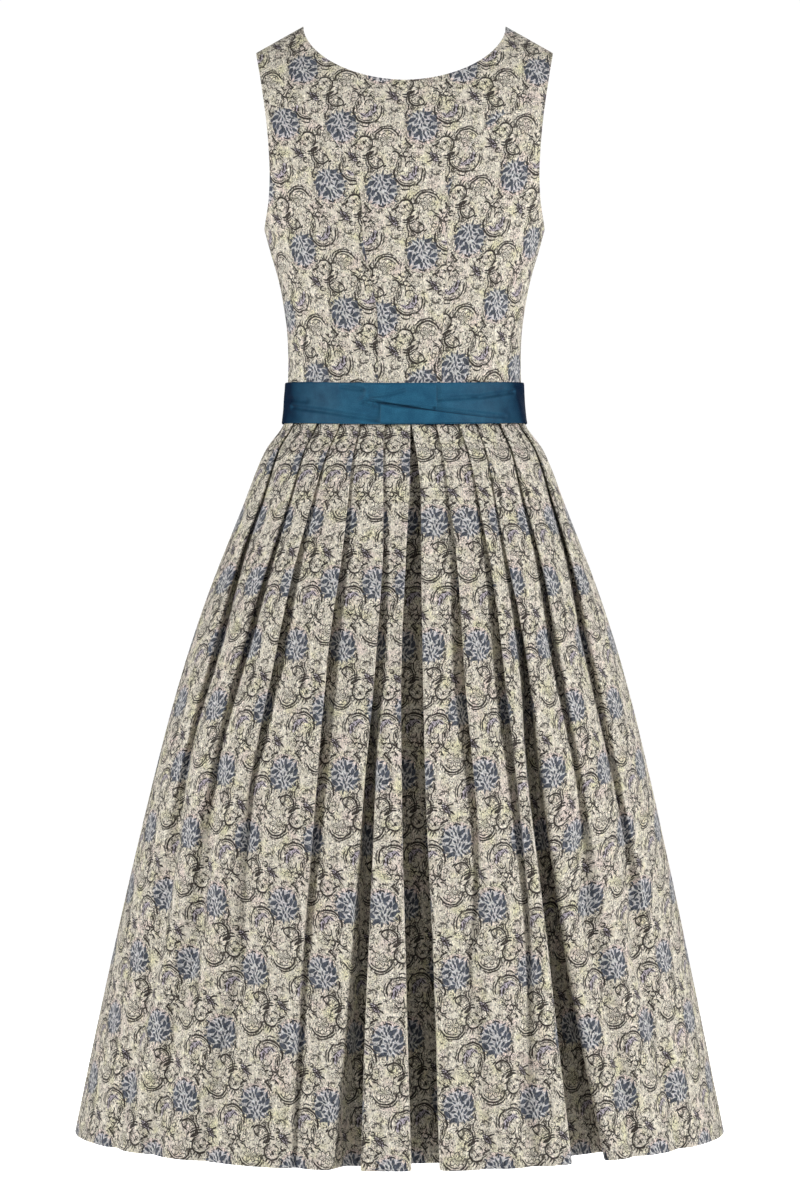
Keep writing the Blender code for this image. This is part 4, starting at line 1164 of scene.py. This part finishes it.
PETALS = (
    Leaf(1.1, 16.4, 86, 6.5, 2.2), Leaf(5.6, 13.2, 22, 9.5, 4.0), Leaf(11.0, 7.7, -38, 9.5, 4.8),
    Leaf(12.6, 11.0, -24, 5.5, 2.0), Leaf(5.3, 5.3, 4, 5.0, 2.6), Leaf(6.9, 1.3, 60, 7.5, 2.5),
    Leaf(10.6, -1.1, 18, 9.0, 4.2), Leaf(9.5, -7.0, -38, 7.5, 3.4), Leaf(14.6, -4.7, 25, 5.0, 2.0),
    Leaf(4.6, -3.6, -30, 5.0, 2.0), Leaf(-9.0, 12.5, -26, 6.0, 2.2), Leaf(-10.7, 6.2, 30, 9.5, 4.2),
    Leaf(-5.6, 10.4, -64, 5.0, 2.0), Leaf(-6.4, 4.9, 58, 7.0, 2.5), Leaf(-2.9, 3.8, 68, 5.5, 2.0),
    Leaf(0.4, 6.4, 96, 6.5, 2.3), Leaf(3.0, 9.2, -36, 5.5, 2.6), Leaf(-13.1, -1.5, 62, 8.5, 4.4),
    Leaf(-8.9, -3.0, 76, 7.5, 3.6), Leaf(-5.6, -0.6, 42, 5.5, 2.4), Leaf(-3.4, -3.9, -44, 6.0, 2.4),
    Leaf(-5.3, -8.2, 42, 9.5, 4.3), Leaf(-12.4, -8.0, 78, 8.0, 2.8), Leaf(-0.9, 0.6, 92, 5.0, 1.8),
    Leaf(2.2, 1.0, -34, 5.0, 2.2), Leaf(-1.2, -11.2, 80, 7.0, 3.0), Leaf(3.0, -10.4, 108, 6.0, 2.2),
    Leaf(-8.2, -13.4, 20, 6.5, 2.2), Leaf(7.2, -12.4, -24, 5.0, 1.8), Leaf(-1.7, 10.6, 104, 5.5, 2.2),
    Leaf(2.6, 13.6, 66, 4.5, 2.0), Leaf(-4.8, 14.4, -68, 5.0, 2.2), Leaf(8.9, 4.2, 8, 4.5, 1.9),
    Leaf(-2.0, -7.6, 62, 5.0, 2.2), Leaf(1.3, -6.6, 96, 5.5, 2.2), Leaf(5.4, -7.2, -62, 4.5, 2.0),
    Leaf(16.2, 3.4, 10, 4.5, 2.2), Leaf(13.6, -11.0, -38, 4.5, 2.0), Leaf(-15.6, 3.4, -6, 4.5, 2.2),
    Leaf(-13.2, 10.6, -40, 4.5, 2.0), Leaf(8.8, 14.8, 58, 4.5, 2.0), Leaf(0.8, -15.0, 92, 4.5, 2.2),
)


def sprig_mask(n, places, disc):
    """The small sprigs round two clusters, fainter on the blossom's pale ground."""
    sprigs = 0.0
    for layer, point in enumerate(places):
        x, y, _ = n.separate(point)
        near = n.math("MULTIPLY_ADD", n.math("ABSOLUTE", y), SPRIG_LEAN, n.math("ABSOLUTE", x))
        inside = n.contrast(near, *SPRIG_BORDER)
        field = n.noise(n.combine(x, y, SPRIG_LAYER * layer), SPRIG_SCALE, detail=1.5)
        contour = n.math("FRACT", n.math("MULTIPLY", field[0], SPRIG_CONTOURS))
        off_line = n.math("ABSOLUTE", n.math("SUBTRACT", contour, 0.5))
        line = n.contrast(off_line, *SPRIG_LINE)
        broken = n.contrast(n.separate(field[1])[1], *SPRIG_GAPS)
        line = n.math("MULTIPLY", n.math("MULTIPLY", line, broken), inside)
        sprigs = n.math("MAXIMUM", sprigs, line)
    held_back = n.math("MULTIPLY_ADD", disc, SPRIGS_ON_BLOSSOM - 1.0, 1.0)
    return n.math("MULTIPLY", sprigs, held_back)


def drawing_group():
    """The whole floral drawing, as masks of its lines, petals, pale rims and tinted buds."""
    outputs = (
        ("Lines", "value"), ("Sprigs", "value"), ("Petals", "value"),
        ("Disc", "value"), ("Rim", "value"), ("Buds", "value"),
    )
    tree, n, given, target = new_group("floral drawing", (("Cloth", "vector"),), outputs)
    repeat, arc, leaf = repeat_group(), arc_group(), leaf_group()
    star = star_group()

    def stroke(point, s, below):
        return n.group(
            arc, Point=point, Centre=(s.x, s.y, 0.0), Radius=s.radius, Start=float(s.start),
            Sweep=float(s.sweep), Growth=s.growth, Width=s.width, Below=below,
        )[0]

    def blade(point, s, below):
        turn = math.radians(s.turn)
        along = tuple(2 / s.length * part for part in (math.cos(turn), math.sin(turn), 0.0))
        across = tuple(2 / s.width * part for part in (-math.sin(turn), math.cos(turn), 0.0))
        return n.group(
            leaf, Point=point, Centre=(s.x, s.y, 0.0), Along=along, Across=across,
            Sharpness=s.width / 2 / SOFT, Outline=s.outline, Below=below,
        )[0]

    # the hand of the drawing: every line wanders a little
    bends = n.noise(given["Cloth"], WANDER_SCALE, detail=1.0)["Color"]
    wander = n.vector("SUBTRACT", bends, (0.5, 0.5, 0.5))
    wander = n.vector("MULTIPLY", wander, (WANDER, WANDER, 0.0))
    cloth = n.vector("ADD", given["Cloth"], wander)
    points = {}
    lines = 0.0
    for cluster in (BLOSSOM, RING_SCROLL, SCROLL_AND_STAR, LILY):
        point = n.group(repeat, Cloth=cloth, Centre=(cluster.x, cluster.y, 0.0))[0]
        points[cluster] = point
        for s in cluster.strokes:
            lines = stroke(point, s, lines)
        for s in cluster.leaves:
            lines = blade(point, s, lines)
    point = points[SCROLL_AND_STAR]
    lines = n.group(star, Point=point, Centre=STAR_CENTRE, Radius=STAR_RADIUS, Below=lines)[0]
    point = points[BLOSSOM]
    petals = 0.0
    for s in PETALS:
        fuller = s._replace(
            x=BLOSSOM_SPREAD * s.x,
            y=BLOSSOM_SPREAD * s.y,
            length=PETAL_FULLNESS * s.length,
            width=PETAL_FULLNESS * s.width,
        )
        petals = blade(point, fuller, petals)
    disc = n.contrast(n.vector("LENGTH", point, output=1), *DISC_EDGE)
    buds = blade(point, TRUMPET_PETAL, 0.0)
    for s in LILY_PETALS:
        buds = blade(points[LILY], s, buds)
    n.set(target.inputs["Sprigs"], sprig_mask(n, (points[BLOSSOM], points[RING_SCROLL]), disc))
    n.set(target.inputs["Lines"], lines)
    n.set(target.inputs["Petals"], petals)
    n.set(target.inputs["Rim"], stroke(point, RIM, 0.0))
    n.set(target.inputs["Disc"], disc)
    n.set(target.inputs["Buds"], buds)
    return tree


# Threads and flecks, drawn out along the cloth
THREAD_STRETCH = (1.0, 0.22, 1.0)
THREAD_SCALE = 1400.0  # to the metre, as the scales below
FLECK_STRETCH = (1.0, 0.45, 1.0)
FLECK_SCALE = 260.0
SLUB_SCALE = 760.0
TINT_SCALE = 46.0
WARP = 2 * math.pi / 0.00050  # radians a metre, for threads half a millimetre apart
WEFT = 2 * math.pi / 0.00062
SATIN_WARP = 2 * math.pi / 0.00060
SATIN_WEFT = 2 * math.pi / 0.00090
SATIN_SLANT = 1.2  # the twill leans by this for each step upwards


def weave_group():
    """Threads that cross, as a height and as a light and dark shade."""
    inputs = (("Cloth", "vector"), ("Warp", "value"), ("Weft", "value"), ("Slant", "value"))
    tree, n, given, target = new_group("weave", inputs, (("Height", "value"), ("Shade", "value")))
    x, y, _ = n.separate(given["Cloth"])
    slanted = n.math("MULTIPLY_ADD", y, given["Slant"], x)
    warp = n.math("SINE", n.math("MULTIPLY", slanted, given["Warp"]))
    weft = n.math("SINE", n.math("MULTIPLY", y, given["Weft"]))
    n.set(target.inputs["Height"], n.math("MULTIPLY_ADD", n.math("MULTIPLY", warp, weft), 0.5, 0.5))
    long_threads = n.vector("MULTIPLY", given["Cloth"], THREAD_STRETCH)
    n.set(target.inputs["Shade"], n.noise(long_threads, THREAD_SCALE, detail=1.0)[0])
    return tree


def new_material(name):
    """A material, its nodes and its shader."""
    material = bpy.data.materials.new(name)
    material.use_nodes = True
    tree = material.node_tree
    shader = tree.nodes["Principled BSDF"]
    shader.location = (2600, 0)
    tree.nodes["Material Output"].location = (2900, 0)
    return material, Nodes(tree), shader


def finish_cloth(n, shader, thread, colour, rough, specular, bump):
    """Joins a cloth's colour, roughness and threads to its shader."""
    n.set(shader.inputs["Base Color"], colour)
    n.set(shader.inputs["Roughness"], rough)
    shader.inputs["Specular IOR Level"].default_value = specular
    strength, height = bump
    inputs = {"Height": thread["Height"], "Strength": strength, "Distance": height}
    n.set(shader.inputs["Normal"], n.add("ShaderNodeBump", inputs).outputs[0])


CREAM = linear(238, 232, 218)
SAND = linear(192, 184, 167)
STRAW = linear(216, 212, 172)
BLUSH = linear(222, 203, 197)
MIST = linear(198, 200, 206)
MAUVE = linear(160, 150, 178)
UMBER = linear(44, 37, 34)
NAVY = linear(40, 46, 58)
STEEL = linear(70, 77, 92)
LOOSE_DARK = linear(150, 142, 132)
LOOSE_PALE = linear(196, 186, 164)
PETROL = linear(33, 80, 109)
PETROL_PALE = linear(46, 102, 131)
# near-black petrol of the sash's painted shade, where it turns away from the view
PETROL_PAINTED_SHADE = linear(2, 26, 50)

# Where the patches of a noise set in, and where they are whole
GROUND_PATCHES = (0.30, 0.685)
YELLOW_PATCHES = (0.51, 0.71)
PINK_PATCHES = (0.54, 0.74)
BLUE_PATCHES = (0.375, 0.625)
UNBROKEN_THREADS = (0.135, 0.519)
LOOSE_PATCHES = (0.40, 0.65)
SATIN_CLOUDS = (0.292, 0.708)


def jacquard(drawing, weave):
    """The right side of the cloth: a pale ground with the drawing woven in."""
    material, n, shader = new_material("floral jacquard")
    cloth = n.add("ShaderNodeUVMap", uv_map="cloth").outputs[0]
    masks = n.group(drawing, Cloth=cloth)
    thread = n.group(weave, Cloth=cloth, Warp=WARP, Weft=WEFT, Slant=0.0)
    drawn_out = n.vector("MULTIPLY", cloth, FLECK_STRETCH)
    fleck = n.noise(drawn_out, FLECK_SCALE, detail=3.0)[0]
    tint = n.noise(cloth, TINT_SCALE)
    ground = n.mix(n.contrast(fleck, *GROUND_PATCHES), SAND, CREAM)
    tints = (
        (n.contrast(tint[0], *YELLOW_PATCHES), 0.7, STRAW),
        (n.contrast(n.separate(tint[1])[1], *PINK_PATCHES), 0.6, BLUSH),
        (masks["Rim"], 0.6, BLUSH),
        (masks["Disc"], 0.7, MIST),
        (masks["Buds"], 0.62, MAUVE),
    )
    for mask, strength, colour in tints:
        ground = n.mix(n.math("MULTIPLY", mask, strength), ground, colour)
    # threads of the ground break the drawing up
    unbroken = n.contrast(thread["Shade"], *UNBROKEN_THREADS)
    lines = n.math("MAXIMUM", masks["Lines"], n.math("MULTIPLY", masks["Sprigs"], SPRIG_STRENGTH))
    lines = n.math("MULTIPLY", lines, n.math("MULTIPLY_ADD", unbroken, 0.22, 0.78))
    petals = n.math("MULTIPLY", masks["Petals"], n.math("MULTIPLY_ADD", unbroken, 0.24, 0.74))
    drawn = n.mix(lines, ground, UMBER)
    drawn = n.mix(petals, drawn, n.mix(n.contrast(fleck, *BLUE_PATCHES), NAVY, STEEL))
    light = n.math("MULTIPLY_ADD", n.noise(drawn_out, SLUB_SCALE)[0], 2.1, -0.03)
    rough = n.math("MULTIPLY_ADD", masks["Petals"], -0.14, 0.82)
    finish_cloth(n, shader, thread, n.shade(drawn, light), rough, 0.25, (0.35, 0.00025))
    shader.inputs["Sheen Weight"].default_value = 0.12
    shader.inputs["Sheen Roughness"].default_value = 0.5
    return material


def jacquard_reverse(weave):
    """The wrong side of the cloth, with loose threads and no clear drawing."""
    material, n, shader = new_material("jacquard reverse")
    cloth = n.add("ShaderNodeUVMap", uv_map="cloth").outputs[0]
    thread = n.group(weave, Cloth=cloth, Warp=WARP, Weft=WEFT, Slant=0.0)
    patch = n.noise(n.vector("MULTIPLY", cloth, (0.5, 1.0, 1.0)), 120.0, detail=3.0)[0]
    colour = n.mix(n.contrast(patch, *LOOSE_PATCHES), LOOSE_DARK, LOOSE_PALE)
    light = n.math("MULTIPLY_ADD", thread["Shade"], 0.5, 0.74)
    rough = n.math("MULTIPLY_ADD", patch, 0.1, 0.82)
    finish_cloth(n, shader, thread, n.shade(colour, light), rough, 0.2, (0.4, 0.0003))
    return material


def satin(weave):
    """The sash: a petrol blue satin with a fine slanting twill, with painted shade that darkens its
    colour where it turns away from the view.
    """
    material, n, shader = new_material("petrol satin")
    cloth = n.add("ShaderNodeUVMap", uv_map="cloth").outputs[0]
    thread = n.group(weave, Cloth=cloth, Warp=SATIN_WARP, Weft=SATIN_WEFT, Slant=SATIN_SLANT)
    cloudy = n.noise(cloth, 60.0, detail=4.0)[0]
    colour = n.mix(n.contrast(cloudy, *SATIN_CLOUDS), PETROL, PETROL_PALE)
    # painted shade: the colour is mixed towards a near-black petrol where the sash turns away from the
    # view, standing in for the shade at its sides
    facing = n.add("ShaderNodeLayerWeight", {"Blend": 0.5}).outputs["Facing"]
    colour = n.mix(n.math("MULTIPLY", facing, 1.6, clamp=True), colour, PETROL_PAINTED_SHADE)
    light = n.math("MULTIPLY_ADD", n.noise(cloth, 900.0)[0], 0.8, 0.6)
    rough = n.math("MULTIPLY_ADD", thread["Shade"], 0.16, 0.40)
    finish_cloth(n, shader, thread, n.shade(colour, light), rough, 0.08, (0.25, 0.0002))
    shader.inputs["Sheen Weight"].default_value = 0.03
    return material


# Scene

CAMERA_PLACE = (-0.0050, -5.0, -0.6220)
CAMERA_LENS = 135.0
FLOOR = HEM - 0.34
FLOOR_REACH = 60.0  # so that its far edge doesn't show
FLOOR_GLOW = 1.05  # as the camera sees it, so that it is as pale as the background
AMBIENT = 0.022  # light from all sides
# Lamps: their places, the heights that they aim at on the dress, sizes and power
Lamp = namedtuple("Lamp", "name place aim size power")
LAMPS = (
    Lamp("right", (3.8, -1.95, 0.6), -0.65, 1.3, 162.0),
    Lamp("left", (-3.8, -2.0, 0.6), -0.65, 1.3, 148.0),
    Lamp("front", (0.3, -4.6, 1.6), -0.60, 1.6, 3.0),
    Lamp("back", (0.6, 4.2, 1.4), -0.60, 2.6, 130.0),
)


def set_camera():
    """A level camera, straight behind the wearer."""
    data = bpy.data.cameras.new("camera")
    data.lens = CAMERA_LENS
    camera = bpy.data.objects.new("camera", data)
    camera.location = CAMERA_PLACE
    camera.rotation_euler = (math.pi / 2, 0.0, 0.0)
    bpy.context.scene.collection.objects.link(camera)
    bpy.context.scene.camera = camera


def set_lamp(lamp):
    """A round soft lamp that shines on the dress."""
    data = bpy.data.lights.new(lamp.name, "AREA")
    data.shape = "DISK"
    data.size = lamp.size
    data.energy = lamp.power
    light = bpy.data.objects.new(lamp.name, data)
    light.location = lamp.place
    x, y, z = lamp.place
    light.rotation_euler = (math.atan2(math.hypot(x, y), z - lamp.aim), 0.0, math.atan2(x, -y))
    bpy.context.scene.collection.objects.link(light)


def set_studio():
    """Soft lamps round the dress and a white background."""
    scene = bpy.context.scene
    scene.view_settings.view_transform = "Standard"
    for lamp in LAMPS:
        set_lamp(lamp)
    world = bpy.data.worlds.new("studio")
    world.use_nodes = True
    n = Nodes(world.node_tree)
    background = world.node_tree.nodes["Background"]
    seen = n.add("ShaderNodeLightPath").outputs["Is Camera Ray"]
    background.inputs["Color"].default_value = (1.0, 1.0, 1.0, 1.0)
    n.set(background.inputs["Strength"], n.math("ADD", seen, AMBIENT))
    scene.world = world


def make_floor():
    """A plain pale floor below the hem, which the dress doesn't touch."""
    mesh = bpy.data.meshes.new("floor")
    corners = [(FLOOR_REACH * x, FLOOR_REACH * y, FLOOR) for x, y in ((-1, -1), (1, -1), (1, 1), (-1, 1))]
    mesh.from_pydata(corners, [], [(0, 1, 2, 3)])
    floor = bpy.data.objects.new("floor", mesh)
    bpy.context.scene.collection.objects.link(floor)
    material, n, shader = new_material("pale floor")
    grain = n.noise(n.add("ShaderNodeTexCoord").outputs["Object"], 3.0)
    n.set(shader.inputs["Base Color"], n.mix(grain[0], linear(240, 240, 240), linear(246, 246, 246)))
    shader.inputs["Roughness"].default_value = 0.9
    seen = n.add("ShaderNodeLightPath").outputs["Is Camera Ray"]
    shader.inputs["Emission Color"].default_value = (1.0, 1.0, 1.0, 1.0)
    n.set(shader.inputs["Emission Strength"], n.math("MULTIPLY", seen, FLOOR_GLOW))
    mesh.materials.append(material)


def make_bodice(finish):
    """The seven panels of the bodice."""
    centre = []
    sides = (
        ("left", -1, BACK_SEAM_LEFT, BLOOM_BACK_LEFT),
        ("right", 1, BACK_SEAM_RIGHT, BLOOM_BACK_RIGHT),
    )
    back = (BACK_COUNT, BACK_NECK_DEPTH, 0.0)
    front = (FRONT_COUNT, FRONT_NECK_DEPTH, SEAM_GAP / 2)
    for name, side, seam, bloom in sides:
        half = middle_panel(side, False, seam, BACK_ARMHOLE, *back)
        centre.append(edged(half, across=(False, True)))
        panel = edged(side_panel(side, False, seam, BACK_ARMHOLE, BACK_COUNT))
        panel = bloom_at([panel], *bloom)
        place_cloth(f"bodice_back_{name}", panel, finish)
        panel = edged(side_panel(side, True, FRONT_SEAM, FRONT_ARMHOLE, FRONT_COUNT))
        place_cloth(f"bodice_front_side_{name}", [panel], finish)
        panel = edged(middle_panel(side, True, FRONT_SEAM, FRONT_ARMHOLE, *front))
        place_cloth(f"bodice_front_centre_{name}", [panel], finish)
    centre = bloom_at(centre, *BLOOM_BACK_CENTRE)
    place_cloth("bodice_back_centre", centre, finish)


def make_skirt(finish):
    """The pleated back and the two halves of the front, which hang from the bodice."""
    left = quarter_sheet(BACK_LEFT, BACK_RIGHT, -1, False, (False, True))
    right = quarter_sheet(BACK_RIGHT, BACK_LEFT, 1, False, (False, True))
    back = bloom_at([edged(joined(left, right))], *BLOOM_SKIRT_BACK)
    place_cloth("skirt_back", back, finish)
    fronts = (("left", -1, FRONT_LEFT, FRONT_RIGHT), ("right", 1, FRONT_RIGHT, FRONT_LEFT))
    for name, side, folds, opposite in fronts:
        panel = edged(quarter_sheet(folds, opposite, side, True, (True, True)))
        place_cloth(f"skirt_front_{name}", [panel], finish)


def make_sash(finish):
    """The band and the two ends that lie on it."""
    band = with_edges(sash_band(), 0, True, True)
    place_cloth("sash_band", [band], finish)
    ends = (("upper", END_UPPER_FROM, END_UPPER_TO), ("lower", END_LOWER_FROM, END_LOWER_TO))
    for name, start, end in ends:
        sheet = edged(sash_end(start, end, name == "upper"), down=(True, True))
        place_cloth(f"sash_end_{name}", [sheet], finish)


drawing, weave = drawing_group(), weave_group()
floral = (jacquard(drawing, weave), jacquard_reverse(weave), "jacquard")
petrol = satin(weave)
set_camera()
set_studio()
make_floor()
make_bodice(floral)
make_skirt(floral)
make_sash((petrol, petrol, "sash"))
